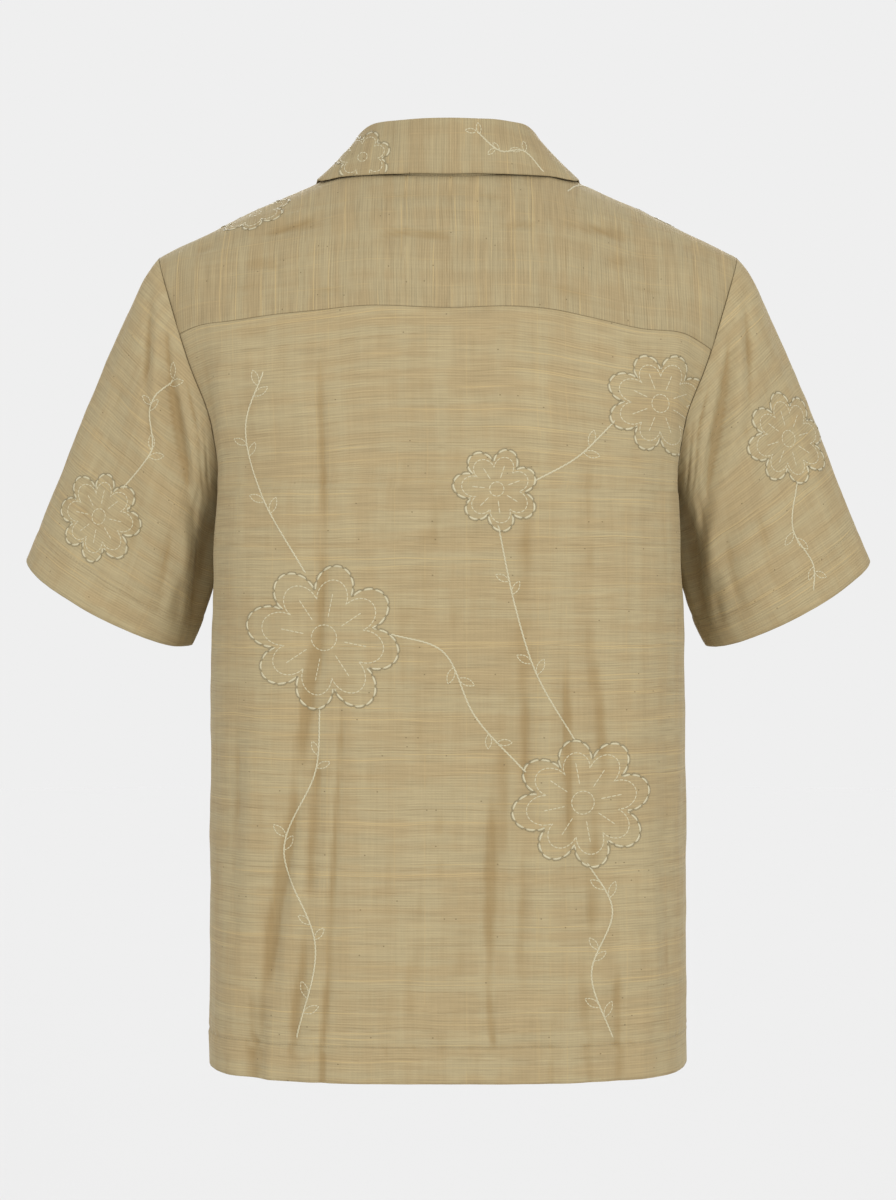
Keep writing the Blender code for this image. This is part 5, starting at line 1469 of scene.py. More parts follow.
@dataclass
class Needlework:
    """Gathers stitches, and makes one mesh object of them."""

    name: str
    points: list[Array] = field(default_factory=list)
    faces: list[Array] = field(default_factory=list)
    grains: list[Array] = field(default_factory=list)
    count: int = 0

    @staticmethod
    def _fitted(run: Run, stitch: Stitch) -> tuple[int, float]:
        """How many stitches fill a run, and their pitch."""
        pitch = (stitch.length + stitch.gap) * MM
        room = run.length() + stitch.gap * MM
        number = int(room / pitch)
        return number, room / max(number, 1)

    def sew(self, run: Run, stitch: Stitch) -> None:
        """Sews stitches along a run.

        Args:
            run: The stretch of cloth that they follow.
            stitch: The kind of stitch.
        """
        number, pitch = self._fitted(run, stitch)
        if number < 1:
            return
        rings = np.linspace(0, 1, stitch.rings)
        starts = np.arange(number) * pitch
        long = pitch - stitch.gap * MM
        self._tubes(run, starts[:, None] + rings[None, :] * long, rings, stitch)

    def couch(self, run: Run, stitch: Stitch) -> None:
        """Lays one continuous thread along a run, which sways as it is whipped round the stitches.

        Args:
            run: The stretch of cloth that it follows.
            stitch: Its sizes; length is the distance between two whips.
        """
        total = run.length()
        rings = max(int(total / (0.9 * MM)), 4)
        share = np.linspace(0, 1, rings)
        self._tubes(run, share[None, :] * total, share, stitch)

    def _tubes(self, run: Run, places: Array, share: Array, stitch: Stitch) -> None:
        """Adds one closed tube for each row of places along a run."""
        along = run_along(run.points, 0)
        tangents = unit(np.gradient(run.points, axis=0))

        def read(values: Array) -> Array:
            """Values of the run at the places."""
            return np.stack([np.interp(places, along, column) for column in values.T], axis=-1)

        centre, normal, tangent = read(run.points), unit(read(run.normals)), unit(read(tangents))
        side = unit(np.cross(normal, tangent))
        single = len(places) == 1
        if single:
            beat = np.cos((places + stitch.gap * MM / 2) / self._fitted(run, stitch)[1] * 2 * math.pi)
            across = stitch.offset - stitch.sway * np.clip((beat - 0.55) / 0.45, 0, 1)
            rise = stitch.arch * np.clip((beat - 0.3) / 0.7, 0, 1)
            taper = np.minimum(1, np.minimum(share, 1 - share) * len(share) / 2 + 0.3)
        else:
            across = stitch.offset + stitch.slant * (share - 0.5)
            rise = stitch.arch * np.sin(math.pi * share)
            taper = np.sqrt(np.clip(1 - 0.86 * (2 * share - 1) ** 4, 0.12, 1))
        across, rise, taper = (np.broadcast_to(value, places.shape)[..., None] for value in (across, rise, taper))
        centre = centre + side * across * MM + normal * (rise - stitch.sink) * MM
        turns = np.linspace(0, 2 * math.pi, stitch.sides, endpoint=False)
        cosine, sine = np.cos(turns)[:, None], np.sin(turns)[:, None]
        ring = (
            side[..., None, :] * cosine * (stitch.width / 2 * MM)
            + normal[..., None, :] * sine * (stitch.height * MM)
        ) * taper[..., None]
        points = centre[..., None, :] + ring
        tubes, rings, sides = points.shape[:3]
        place = self.count + np.arange(points[..., 0].size).reshape(tubes, rings, sides)
        ahead = np.roll(place, -1, axis=2)
        walls = np.stack([place[:, :-1], ahead[:, :-1], ahead[:, 1:], place[:, 1:]], axis=-1).reshape(-1, 4)
        caps = [place[:, end][:, list(corners)] for end in (0, -1) for corners in ((0, 1, 2, 3), (0, 3, 4, 5))]
        drawn = np.random.default_rng(len(places) + self.count).random(tubes)
        grain = np.stack([
            np.broadcast_to(places[..., None], place.shape),
            np.broadcast_to(np.linspace(0, 1, sides, endpoint=False), place.shape),
            np.broadcast_to(drawn[:, None, None], place.shape),
        ], axis=-1)
        self.points.append(points.reshape(-1, 3))
        self.faces.append(np.concatenate([walls] + caps))
        self.grains.append(grain.reshape(-1, 3))
        self.count += place.size

    def build(self, material: Material) -> Object:
        """Makes one mesh object of every stitch so far."""
        faces = np.concatenate(self.faces)
        return add_mesh(self.name, np.concatenate(self.points), faces, material, np.concatenate(self.grains))


# The embroidered design: plain daisies and leaf sprigs on rising stems


OUTLINE = Stitch(length=7.2, gap=1.5, width=1.5, height=0.42, offset=-0.35, arch=0.22, slant=0.25)
WHIP = Stitch(length=7.2, gap=1.5, width=1.0, height=0.40, offset=0.75, sway=1.25, arch=0.30, sink=0.0)
INNER = Stitch(length=2.9, gap=0.5, width=0.85, height=0.26, arch=0.10)
STEM = Stitch(length=4.2, gap=-1.1, width=1.2, height=0.42, slant=0.75, arch=0.16)
LEAF = Stitch(length=2.2, gap=0.25, width=0.85, height=0.28, arch=0.10)


def through(rows: Sequence[tuple[float, float]], steps: int = 24) -> Array:
    """A smooth line through drawn places."""
    places = np.array(rows, float)
    at = np.concatenate([[0], np.cumsum(np.sqrt(np.linalg.norm(np.diff(places, axis=0), axis=1)))])
    fine = np.linspace(0, at[-1], steps * (len(rows) - 1) + 1)
    return np.stack([curve_through(at, column, fine) for column in places.T], axis=1)


@dataclass(frozen=True)
class Daisy:
    """A round daisy, drawn with a double outline, a ring in its middle and a vein up each petal."""

    centre: tuple[float, float]
    radius: float
    petals: int = 8
    turn: float = 0.0
    notch: float = 0.36

    def _petal_reach(self, turns: Array) -> Array:
        """The outline's reach at each turn: round petals with sharp notches between them."""
        lobe = np.abs(np.cos(self.petals * (turns - self.turn) / 2)) ** 0.62
        lean = 1 + 0.045 * np.sin(turns * 2 + self.turn * 3) + 0.03 * np.sin(turns * 3 + 1.3)
        return self.radius * lean * (1 - self.notch * (1 - lobe))

    def outline(self, scale: float = 1.0) -> Array:
        """The daisy's outline, starting and ending in a notch."""
        first = self.turn + math.pi / self.petals
        turns = np.linspace(first, first + 2 * math.pi, 90 * self.petals)
        reach = self._petal_reach(turns) * scale
        return np.array(self.centre) + np.stack([reach * np.cos(turns), reach * np.sin(turns)], axis=1)

    def ring(self, scale: float) -> Array:
        """A ring round the daisy's middle."""
        turns = np.linspace(0, 2 * math.pi, 60)
        return np.array(self.centre) + self.radius * scale * np.stack([np.cos(turns), np.sin(turns)], axis=1)

    def veins(self) -> list[Array]:
        """A short line up each petal."""
        lines = []
        for petal in range(self.petals):
            turn = self.turn + 2 * math.pi * petal / self.petals
            heading = np.array([math.cos(turn), math.sin(turn)])
            far = 0.60 + 0.05 * math.sin(3.1 * petal)
            ends = [np.array(self.centre) + self.radius * share * heading for share in (0.28, far)]
            lines.append(np.array(ends))
        return lines


@dataclass(frozen=True)
class Sprig:
    """A stem with pointed leaves in pairs along it."""

    path: tuple[tuple[float, float], ...]
    leaves: tuple[float, ...] = ()
    leaf_length: float = 13.0

    def stem(self) -> Array:
        """The stem's line."""
        return through(self.path)

    def leaf_lines(self) -> list[Array]:
        """The outline of each leaf."""
        stem = self.stem()
        steps = run_along(stem, 0)
        headings = unit(np.gradient(stem, axis=0))
        lines = []
        for number, share in enumerate(self.leaves):
            at = int(np.searchsorted(steps, share * steps[-1]))
            for side in (1, -1):
                foot = stem[min(at + (2 if side > 0 else 6), len(stem) - 1)]
                along = headings[min(at, len(stem) - 1)]
                across = np.array([-along[1], along[0]]) * side
                lean = 0.95 + 0.25 * math.sin(2.3 * number + side)
                tip = unit(along + across * lean) * self.leaf_length * (1 - 0.12 * (number % 2))
                belly = np.array([-tip[1], tip[0]]) * 0.20
                share_out = np.linspace(0, 1, 14)[:, None]
                bulge = np.sin(math.pi * share_out) ** 0.9
                lines.append(np.concatenate([
                    foot + tip * share_out + belly * bulge,
                    (foot + tip * share_out - belly * bulge)[::-1],
                ]))
        return lines


@dataclass(frozen=True)
class Design:
    """What is stitched on one piece of cloth."""

    piece: str
    outlook: Outlook
    daisies: tuple[Daisy, ...] = ()
    sprigs: tuple[Sprig, ...] = ()

    def stitch(self, face: ClothFace, cream: Needlework, olive: Needlework) -> None:
        """Stitches the design.

        Args:
            face: The cloth that takes it.
            cream: Gathers the cream stitches.
            olive: Gathers the olive ones.
        """
        for daisy in self.daisies:
            for run in face.lay(daisy.outline(), self.outlook):
                cream.sew(run, OUTLINE)
                olive.couch(run, WHIP)
            for run in face.lay(daisy.outline(0.80), self.outlook):
                cream.sew(run, INNER)
            for drawn in [daisy.ring(0.17)] + (daisy.veins() if daisy.radius > 30 else []):
                for run in face.lay(drawn, self.outlook):
                    cream.sew(run, INNER)
        for sprig in self.sprigs:
            for run in face.lay(sprig.stem(), self.outlook):
                cream.sew(run, STEM)
            for drawn in sprig.leaf_lines():
                for run in face.lay(drawn, self.outlook):
                    cream.sew(run, LEAF)


def before_sleeve(side: int, facing: int) -> Outlook:
    """The sheet before a sleeve: side is 1 on the wearer's left, and facing is 1 behind the shirt."""
    return Outlook(
        (0.262 * side, 0.10 if facing > 0 else -0.16, -0.235), (0.86, -0.10 * side * facing, 0.50 * side),
        (-0.50 * side, 0.05, 0.86), (0.25 * side, 0.95 * facing, 0.10),
    )


BEHIND = Outlook((0, 0.2, 0), (1, 0, 0), (0, 0, 1), (0, 1, 0))
AHEAD = Outlook((0, -0.2, 0), (1, 0, 0), (0, 0, 1), (0, -1, 0))
OVER_SHOULDERS = Outlook((0, 0.06, 0.1), (1, 0, 0), (0, -0.6, 0.8), (0, 0.8, 0.6))

DESIGNS = (
    Design("back", BEHIND, (
        Daisy((92, -372), 56, 8, 0.2), Daisy((-100, -494), 50, 8, 0.6), Daisy((-36, -262), 31, 7, 0.1),
        Daisy((-160, -196), 40, 8, 0.4),
    ), (
        Sprig(((112, -668), (98, -600), (122, -530), (98, -470), (95, -423)), (0.05, 0.27, 0.54, 0.80)),
        Sprig(((-122, -668), (-106, -620), (-122, -574), (-103, -538)), (0.08, 0.40, 0.74)),
        Sprig(((-94, -448), (-66, -400), (-50, -350), (-37, -288)), (0.30, 0.66)),
        Sprig(((106, -324), (140, -264), (152, -214), (138, -172)), (0.28, 0.56, 0.84)),
        Sprig(((-64, -256), (-96, -238), (-125, -210)), (0.5,)),
        Sprig(((43, -369), (4, -382), (-20, -430), (-58, -472)), (0.34, 0.70)),
    )),
    Design("yoke", OVER_SHOULDERS, (Daisy((150, -96), 27, 7, 0.3), Daisy((-172, -60), 33, 8, 0.1)), (
        Sprig(((-92, -96), (-108, -70), (-134, -62)), (0.5,), 11),
        Sprig(((176, -86), (192, -70), (200, -48)), (0.45,), 11),
    )),
    Design("sleeve_left", before_sleeve(1, 1), (Daisy((6, -46), 36, 8, 0.5),), (
        Sprig(((-3, -17), (-12, 20), (4, 48), (0, 76)), (0.3, 0.66, 0.92)),
    )),
    Design("sleeve_right", before_sleeve(-1, 1), (Daisy((-30, 10), 38, 8, 0.2),), (
        Sprig(((-20, -22), (2, -52), (0, -86), (10, -104)), (0.4, 0.75)),
    )),
    Design("sleeve_left", before_sleeve(1, -1), (Daisy((10, 20), 34, 8, 0.3),), (
        Sprig(((2, -10), (-10, -46), (4, -72), (0, -88)), (0.35, 0.7)),
    )),
    Design("sleeve_right", before_sleeve(-1, -1), (Daisy((0, -50), 34, 8, 0.1),), (
        Sprig(((3, -20), (14, 12), (2, 40), (8, 68)), (0.35, 0.7)),
    )),
    Design("front_left", AHEAD, (Daisy((96, -470), 54, 8, 0.3), Daisy((110, -232), 33, 7, 0.5)), (
        Sprig(((80, -668), (96, -610), (78, -560), (91, -520)), (0.08, 0.36, 0.70)),
        Sprig(((103, -420), (122, -360), (100, -310), (109, -261)), (0.25, 0.55, 0.82)),
    )),
    Design("front_right", AHEAD, (Daisy((-100, -330), 50, 8, 0.1), Daisy((-86, -560), 36, 8, 0.4)), (
        Sprig(((-94, -668), (-84, -634), (-87, -592)), (0.12, 0.5)),
        Sprig(((-90, -528), (-116, -480), (-100, -420), (-102, -377)), (0.3, 0.65)),
        Sprig(((-101, -284), (-120, -236), (-96, -196), (-112, -160)), (0.3, 0.62, 0.9)),
    )),
    Design("collar", BEHIND, (Daisy((66, -2), 22, 7, 0.2),), (
        Sprig(((-74, -14), (-58, 2), (-40, 0), (-22, 14)), (0.3, 0.62, 0.92), 9),
    )),
)


# Finishes


def linear(hex_colour: str) -> tuple[float, float, float, float]:
    """An sRGB hex colour as linear red, green, blue and alpha."""
    channels = [int(hex_colour[i:i + 2], 16) / 255 for i in (1, 3, 5)]
    red, green, blue = ((c / 12.92 if c <= 0.04045 else ((c + 0.055) / 1.055) ** 2.4) for c in channels)
    return red, green, blue, 1.0


# Settings that many nodes share
TIMES, TIMES_PLUS = {"operation": "MULTIPLY"}, {"operation": "MULTIPLY_ADD"}
SOFT_STEP, COLOURS, FLAT = {"interpolation_type": "SMOOTHSTEP"}, {"data_type": "RGBA"}, {"noise_dimensions": "2D"}


def feed(node: Node, inputs: dict) -> None:
    """Sets a node's inputs, by name or number.

    Args:
        node: The node.
        inputs: For each input a value, the socket that feeds it, or a node whose first output in use does.
    """
    for name, value in inputs.items():
        if isinstance(value, Node):
            value = next(socket for socket in value.outputs if socket.enabled)
        if isinstance(value, NodeSocket):
            node.id_data.links.new(value, node.inputs[name])
        else:
            node.inputs[name].default_value = value


def add_node(tree: NodeTree, kind: str, settings: Optional[dict] = None, inputs: Optional[dict] = None) -> Node:
    """Adds a node with its settings and links.

    Args:
        tree: The tree that it goes into.
        kind: The node's type, without its prefix.
        settings: The node's own settings.
        inputs: What its inputs take, as for feed.

    Returns:
        The new node.
    """
    node = tree.nodes.new(f"ShaderNode{kind}")
    for name, value in (settings or {}).items():
        setattr(node, name, value)
    feed(node, inputs or {})
    return node


def new_material(name: str) -> tuple[Material, Node, AddNode]:
    """A material, its principled shader and add_node for its tree."""
    material = bpy.data.materials.new(name)
    material.use_nodes = True
    tree = material.node_tree
    return material, tree.nodes["Principled BSDF"], partial(add_node, tree)


@dataclass(frozen=True)
class SlubbedWeave:
    """Plain-woven cotton and linen with slub picks, washed soft.

    Uneven yarns catch the light as short gold and brown lines across the piece, and the dye takes
    unevenly in both directions, which gives soft lighter and deeper checks. Yarns of 0.4 mm are too
    fine to show in the render, so the ribs are drawn 1.9 mm apart, as the eye groups them.
    """

    name: str = "slubbed_cotton_linen_weave"
    light_tan: str = "#978968"
    deep_tan: str = "#92815F"
    tone: float = 0.68
    gold_slub: str = "#AA9468"
    brown_pick: str = "#7C6A4A"
    # Dark husk flecks, and also the painted shade beside seams
    fleck_and_seam_shade: str = "#584930"
    # Painted shade: the colour that cloth deep in a crease is mixed towards
    crease: str = "#7A6034"
    crease_shade_depth: float = 0.50
    rib: float = 1.9 * MM
    slub: float = 1.4 * MM
    slub_share: float = 0.36
    pick: float = 1.15 * MM
    pick_share: float = 0.07
    roughness: float = 0.74

    def _lines(
        self, add: AddNode, across: Node, along: Node, pitch: float, share: float, seed: float, length: float
    ) -> Node:
        """Yarns that show here and there: 1 on the yarn, 0 beside it.

        Args:
            add: Adds a node to the material.
            across: Places across the yarns.
            along: Places along them.
            pitch: The yarns' spacing.
            share: How many of them show.
            seed: Which of them show.
            length: How far one shows before it fades.

        Returns:
            The node that gives the pattern.
        """
        scaled = add("Math", TIMES_PLUS, {0: across, 1: 1 / pitch, 2: seed})
        number, within = (add("Math", {"operation": part}, {0: scaled}) for part in ("FLOOR", "FRACT"))
        chance = add("TexWhiteNoise", {"noise_dimensions": "1D"}, {"W": number})
        chosen = add("MapRange", SOFT_STEP, {0: chance, 1: 1 - share, 2: 1 - share * 0.55})
        spot = add("CombineXYZ", {}, {0: number, 1: along})
        spot = add("VectorMath", TIMES, {0: spot, 1: (7.31, 1 / length, 0)})
        patchy = add("TexNoise", FLAT, {"Vector": spot, "Scale": 1.0, "Detail": 2.0, "Roughness": 0.6})
        shown = add("MapRange", SOFT_STEP, {0: patchy, 1: 0.40, 2: 0.62})
        hump = add("Math", {"operation": "PINGPONG"}, {0: within, 1: 0.5})
        hump = add("MapRange", SOFT_STEP, {0: hump, 1: 0.05, 2: 0.40})
        both = add("Math", TIMES, {0: chosen, 1: shown})
        return add("Math", TIMES, {0: both, 1: hump})

    def _blots(
        self, add: AddNode, grain: NodeSocket, sizes: tuple[float, float], shift: float, detail: float = 2.0
    ) -> Node:
        """Noise over the cloth, with the usual size of a blot across and along the stripes."""
        scale, move = (1 / sizes[0], 1 / sizes[1], 0), (shift, shift * 1.7, 0)
        spot = add("VectorMath", TIMES_PLUS, {0: grain, 1: scale, 2: move})
        return add("TexNoise", FLAT, {"Vector": spot, "Scale": 1.0, "Detail": detail, "Roughness": 0.55})

    def _flecks(self, add: AddNode, grain: NodeSocket) -> Node:
        """Small dark flecks of husk, about a millimetre long, a few to each palm of cloth."""
        spot = add("VectorMath", TIMES, {0: grain, 1: (150, 110, 0)})
        cells = add("TexVoronoi", {"voronoi_dimensions": "2D"}, {"Vector": spot, "Scale": 1.0})
        near = add("MapRange", SOFT_STEP, {0: cells, 1: 0.10, 2: 0.03})
        kept = add("SeparateColor", {}, {0: cells.outputs["Color"]})
        kept = add("Math", {"operation": "GREATER_THAN"}, {0: kept, 1: 0.962})
        return add("Math", TIMES, {0: near, 1: kept})

    def make(self) -> Material:
        """Builds the material."""
        material, shader, add = new_material(self.name)
        grain = add("Attribute", {"attribute_name": "grain"}).outputs["Vector"]
        parts = add("SeparateXYZ", {}, {0: grain}).outputs
        waver = self._blots(add, grain, (60 * MM, 55 * MM), 3.1, 1.0)
        across, along = add("Math", TIMES_PLUS, {0: waver, 1: 3.2 * MM, 2: parts[0]}), parts[1]
        gold = self._lines(add, across, along, self.slub, self.slub_share, 0.3, 120 * MM)
        # Slubs come in groups of two to four yarns, a hand's breadth apart
        group = self._blots(add, grain, (10 * MM, 260 * MM), 71.0, 1.0)
        group = add("MapRange", SOFT_STEP, {0: group, 1: 0.48, 2: 0.58, 3: 0.08})
        gold = add("Math", TIMES, {0: gold, 1: group})
        brown = self._lines(add, across, along, self.pick, self.pick_share, 57.7, 24 * MM)
        warp = self._lines(add, along, across, self.slub, 0.07, 91.3, 34 * MM)
        # Checks of uneven dye: broad bands both ways
        weft_band = self._blots(add, grain, (13 * MM, 150 * MM), 11.3)
        warp_band = self._blots(add, grain, (170 * MM, 15 * MM), 5.9)
        checks = add("Math", TIMES_PLUS, {0: warp_band, 1: 0.6, 2: weft_band})
        checks = add("MapRange", SOFT_STEP, {0: checks, 1: 0.60, 2: 1.00})
        ground = add("Mix", COLOURS, {0: checks, 6: linear(self.light_tan), 7: linear(self.deep_tan)})
        # Ribs of the weave, and the yarns' own unevenness
        rib = add("Math", TIMES, {0: across, 1: 2 * math.pi / self.rib})
        rib = add("Math", {"operation": "SINE"}, {0: rib})
        strength = self._blots(add, grain, (9 * MM, 36 * MM), 21.0)
        rib = add("Math", TIMES, {0: rib, 1: strength})
        yarn = self._blots(add, grain, (1.4 * MM, 42 * MM), 31.0, 3.0)
        warp_yarn = self._blots(add, grain, (46 * MM, 1.5 * MM), 43.0, 3.0)
        shade = self.tone
        for part, weight in ((rib, 0.10), (yarn, 0.43), (warp_yarn, 0.14), (weft_band, 0.10)):
            shade = add("Math", TIMES_PLUS, {0: part, 1: weight, 2: shade})
        colour = add("VectorMath", {"operation": "SCALE"}, {0: ground, 3: shade})
        # Painted shade: cloth in a crease is mixed towards a browner colour, for the light that reaches it only
        # from its own flanks
        creased = add("Attribute", {"attribute_name": "creased"}).outputs["Fac"]
        laid_over = (
            (gold, 0.68, self.gold_slub), (warp, 0.26, self.gold_slub), (brown, 0.50, self.brown_pick),
            (creased, self.crease_shade_depth, self.crease), (self._flecks(add, grain), 0.7, self.fleck_and_seam_shade),
        )
        for part, weight, tint in laid_over:
            share = add("Math", TIMES, {0: part, 1: weight})
            colour = add("Mix", COLOURS, {0: share, 6: colour, 7: linear(tint)})
        # Painted shade: the last millimetre before a seam, or either side of the hem's stitching, is darkened
        # where the cloth turns under
        near = add("MapRange", SOFT_STEP, {0: parts[2], 1: 0.8 * MM, 2: 0.0, 3: 0.0, 4: 0.24})
        colour = add("Mix", COLOURS, {0: near, 6: colour, 7: linear(self.fleck_and_seam_shade)})
        # Relief: ribs, proud slubs and fine fluff
        height = yarn
        for part, weight in ((rib, 0.35), (gold, 0.8), (warp_yarn, 0.7)):
            height = add("Math", TIMES_PLUS, {0: part, 1: weight, 2: height})
        worn = add("Math", TIMES_PLUS, {0: gold, 1: -0.16, 2: self.roughness})
        feed(shader, {
            "Base Color": colour, "Roughness": add("Math", TIMES_PLUS, {0: strength, 1: 0.10, 2: worn}),
            "Normal": add("Bump", {}, {"Strength": 0.55, "Distance": 0.22 * MM, "Height": height}),
            "Specular IOR Level": 0.30, "Sheen Weight": 0.10, "Sheen Roughness": 0.45,
            "Sheen Tint": linear("#E9DCBE"),
        })
        return material


@dataclass(frozen=True)
class TwistedThread:
    """Mercerised cotton thread, plied and twisted: a soft gloss with fine slanting plies."""

    name: str
    colour: str
    shade: str
    ply: float = 1.1 * MM
    roughness: float = 0.46

    def make(self) -> Material:
        """Builds the material."""
        material, shader, add = new_material(self.name)
        grain = add("Attribute", {"attribute_name": "grain"}).outputs["Vector"]
        parts = add("SeparateXYZ", {}, {0: grain}).outputs
        twist = add("Math", TIMES_PLUS, {0: parts[0], 1: 1 / self.ply, 2: parts[1]})
        twist = add("Math", {"operation": "PINGPONG"}, {0: twist, 1: 0.5})
        # Painted shade in the grooves between the plies: the colour is mixed towards the darker shade there
        groove = add("MapRange", SOFT_STEP, {0: twist, 1: 0.0, 2: 0.28})
        lit = add("Math", TIMES_PLUS, {0: groove, 1: 0.55, 2: 0.30})
        lit = add("Math", TIMES_PLUS, {0: parts[2], 1: 0.22, 2: lit})
        feed(shader, {
            "Base Color": add("Mix", COLOURS, {0: lit, 6: linear(self.shade), 7: linear(self.colour)}),
            "Normal": add("Bump", {}, {"Strength": 0.5, "Distance": 0.12 * MM, "Height": groove}),
            "Roughness": add("Math", TIMES_PLUS, {0: parts[2], 1: 0.14, 2: self.roughness - 0.07}),
            "Sheen Weight": 0.12,
        })
        return material


@dataclass(frozen=True)
class Corozo:
    """Turned and polished corozo nut: a close streaked grain in tan and brown under a soft gloss."""

    name: str = "polished_corozo_nut"
    light: str = "#87704B"
    dark: str = "#6A5436"
    grain_size: float = 0.42 * MM
    roughness: float = 0.34

    def make(self) -> Material:
        """Builds the material."""
        material, shader, add = new_material(self.name)
        place = add("VectorMath", TIMES, {0: add("TexCoord").outputs["Object"], 1: (1.0, 1.0, 0.28)})
        scale = 1 / self.grain_size
        noise = add("TexNoise", {}, {"Vector": place, "Scale": scale, "Detail": 4.0, "Roughness": 0.6})
        bands = add("MapRange", SOFT_STEP, {0: noise, 1: 0.36, 2: 0.64})
        feed(shader, {
            "Base Color": add("Mix", COLOURS, {0: bands, 6: linear(self.dark), 7: linear(self.light)}),
            "Roughness": add("Math", TIMES_PLUS, {0: noise, 1: 0.16, 2: self.roughness - 0.08}),
            "Normal": add("Bump", {}, {"Strength": 0.2, "Distance": 0.05 * MM, "Height": noise}),
            "Coat Weight": 0.25, "Coat Roughness": 0.2,
        })
        return material


# Buttons, sewn on through four holes


@dataclass(frozen=True)
class Buttons:
    """Five buttons down the middle of the left front, with their thread and their buttonholes."""

    radius: float = 5.6 * MM
    thickness: float = 2.6 * MM
    rim: float = 1.3 * MM
    dish: float = 0.8 * MM
    hole: float = 0.75 * MM
    hole_offset: float = 1.7 * MM
    count: int = 5
    first: float = -178 * MM
    pitch: float = 97 * MM
    seat_gap: float = 0.3 * MM
    slot: float = 15.5 * MM

    def seats(self, form: BodyForm) -> list[tuple[Array, Array]]:
        """Where each button sits, and the way that it faces."""
        places = [form.place_in_view(0.0, self.first - index * self.pitch) for index in range(self.count)]
        return [
            (form.cloth(*place, 1) + form.normal(*place) * self.seat_gap, form.normal(*place)) for place in places
        ]

    @staticmethod
    def _turned(
        name: str, rows: Sequence[tuple[float, float]], sides: int, at: Sequence[float] = (0, 0, 0)
    ) -> Object:
        """A bare piece turned about an upright axis.

        Args:
            name: Its name.
            rows: Radius and height, from its foot to its top.
            sides: How many sides its circles have.
            at: Where its axis stands.

        Returns:
            The new object.
        """
        turns = np.linspace(0, 2 * math.pi, sides, endpoint=False)
        points = np.array([(r * math.cos(t), r * math.sin(t), z) for r, z in rows for t in turns]) + at
        faces = [tuple(range(sides))[::-1], tuple(range(len(points) - sides, len(points)))]
        for low in range(0, len(points) - sides, sides):
            for i in range(sides):
                j = (i + 1) % sides
                faces.append((low + i, low + j, low + sides + j, low + sides + i))
        mesh = bpy.data.meshes.new(name)
        mesh.from_pydata(points.tolist(), [], faces)
        return add_object(name, mesh)

    def shape(self) -> Mesh:
        """One button's mesh: rounded rim, dished face and four holes."""
        r, t, inside = self.radius, self.thickness, self.radius - self.rim
        body = self._turned("turning", [
            (r * 0.84, 0), (r * 0.93, 0.12 * t), (r * 0.985, 0.32 * t), (r, 0.52 * t), (r * 0.985, 0.76 * t),
            (r * 0.95, 0.92 * t), (r * 0.90, t), (inside, t * 0.985), (r - self.rim * 1.25, t - 0.5 * self.dish),
            (r - self.rim * 1.5, t - self.dish), (r * 0.35, t - self.dish * 1.12),
        ], 48)
        cutters = []
        for k in range(4):
            angle = math.radians(45 + 90 * k)
            at = (self.hole_offset * math.cos(angle), self.hole_offset * math.sin(angle), 0)
            cutters.append(self._turned(f"drill_{k}", [(self.hole, -MM), (self.hole, t + MM)], 14, at))
            cut = body.modifiers.new(f"hole_{k}", "BOOLEAN")
            cut.operation, cut.object = "DIFFERENCE", cutters[-1]
        graph = bpy.context.evaluated_depsgraph_get()
        shape = bpy.data.meshes.new_from_object(body.evaluated_get(graph))
        for spare in cutters + [body]:
            bpy.data.objects.remove(spare)
        return shape

    def build(self, form: BodyForm, finish: Material) -> list[Object]:
        """Makes the buttons in their places."""
        shape = self.shape()
        made = []
        for index, (seat, normal) in enumerate(self.seats(form)):
            mesh = shape.copy()
            points = np.empty(len(mesh.vertices) * 3)
            mesh.vertices.foreach_get("co", points)
            turned = points.reshape(-1, 3) @ np.array([ACROSS, unit(np.cross(normal, ACROSS)), normal]) + seat
            mesh.vertices.foreach_set("co", turned.ravel())
            mesh.materials.clear()
            mesh.materials.append(finish)
            mesh.shade_smooth()
            mesh.set_sharp_from_angle(angle=CRISP_BUTTON)
            made.append(add_object(f"button_{index + 1}_corozo", mesh))
        return made

    def sew_on(self, form: BodyForm, face: ClothFace, threads: Needlework) -> None:
        """Sews each button on, and works the buttonhole under it."""
        bar = Stitch(length=2.9, gap=0.1, width=0.60, height=0.30, arch=0.42, sink=-0.05)
        bead = Stitch(length=1.9, gap=0.1, width=0.58, height=0.30, arch=0.12, sink=-0.10)
        tack = Stitch(length=3.6, gap=0.1, width=0.66, height=0.36, sink=-0.14)
        reach, half = self.hole_offset * math.sqrt(0.5), self.slot / 2 / MM
        for seat, normal in self.seats(form):
            up = unit(np.cross(normal, ACROSS)) * reach * 1.35
            floor = seat + normal * (self.thickness - self.dish * 1.1)
            for side in (-1, 1):
                for lift in (-0.16, 0.16):
                    middle = floor + ACROSS * (side * reach + lift * MM)
                    points = line(middle - up, middle + up, 11)
                    threads.sew(Run(points, np.broadcast_to(normal, points.shape)), bar)
            x, z = seat[0] / MM, seat[2] / MM
            drawn = [
                (bead, (x + side * 0.25, z + step), (x + side * 2.4, z + step))
                for step in np.arange(-half, half + 0.01, 0.54) for side in (-1, 1)
            ] + [
                (tack, (x - 2.0, z + end + step), (x + 2.0, z + end + step))
                for end in (-half, half) for step in (-0.3, 0.3)
            ]
            for stitch, *ends in drawn:
                for run in face.lay(np.array(ends), AHEAD, 0.3 * MM):
                    threads.sew(run, stitch)


# Studio


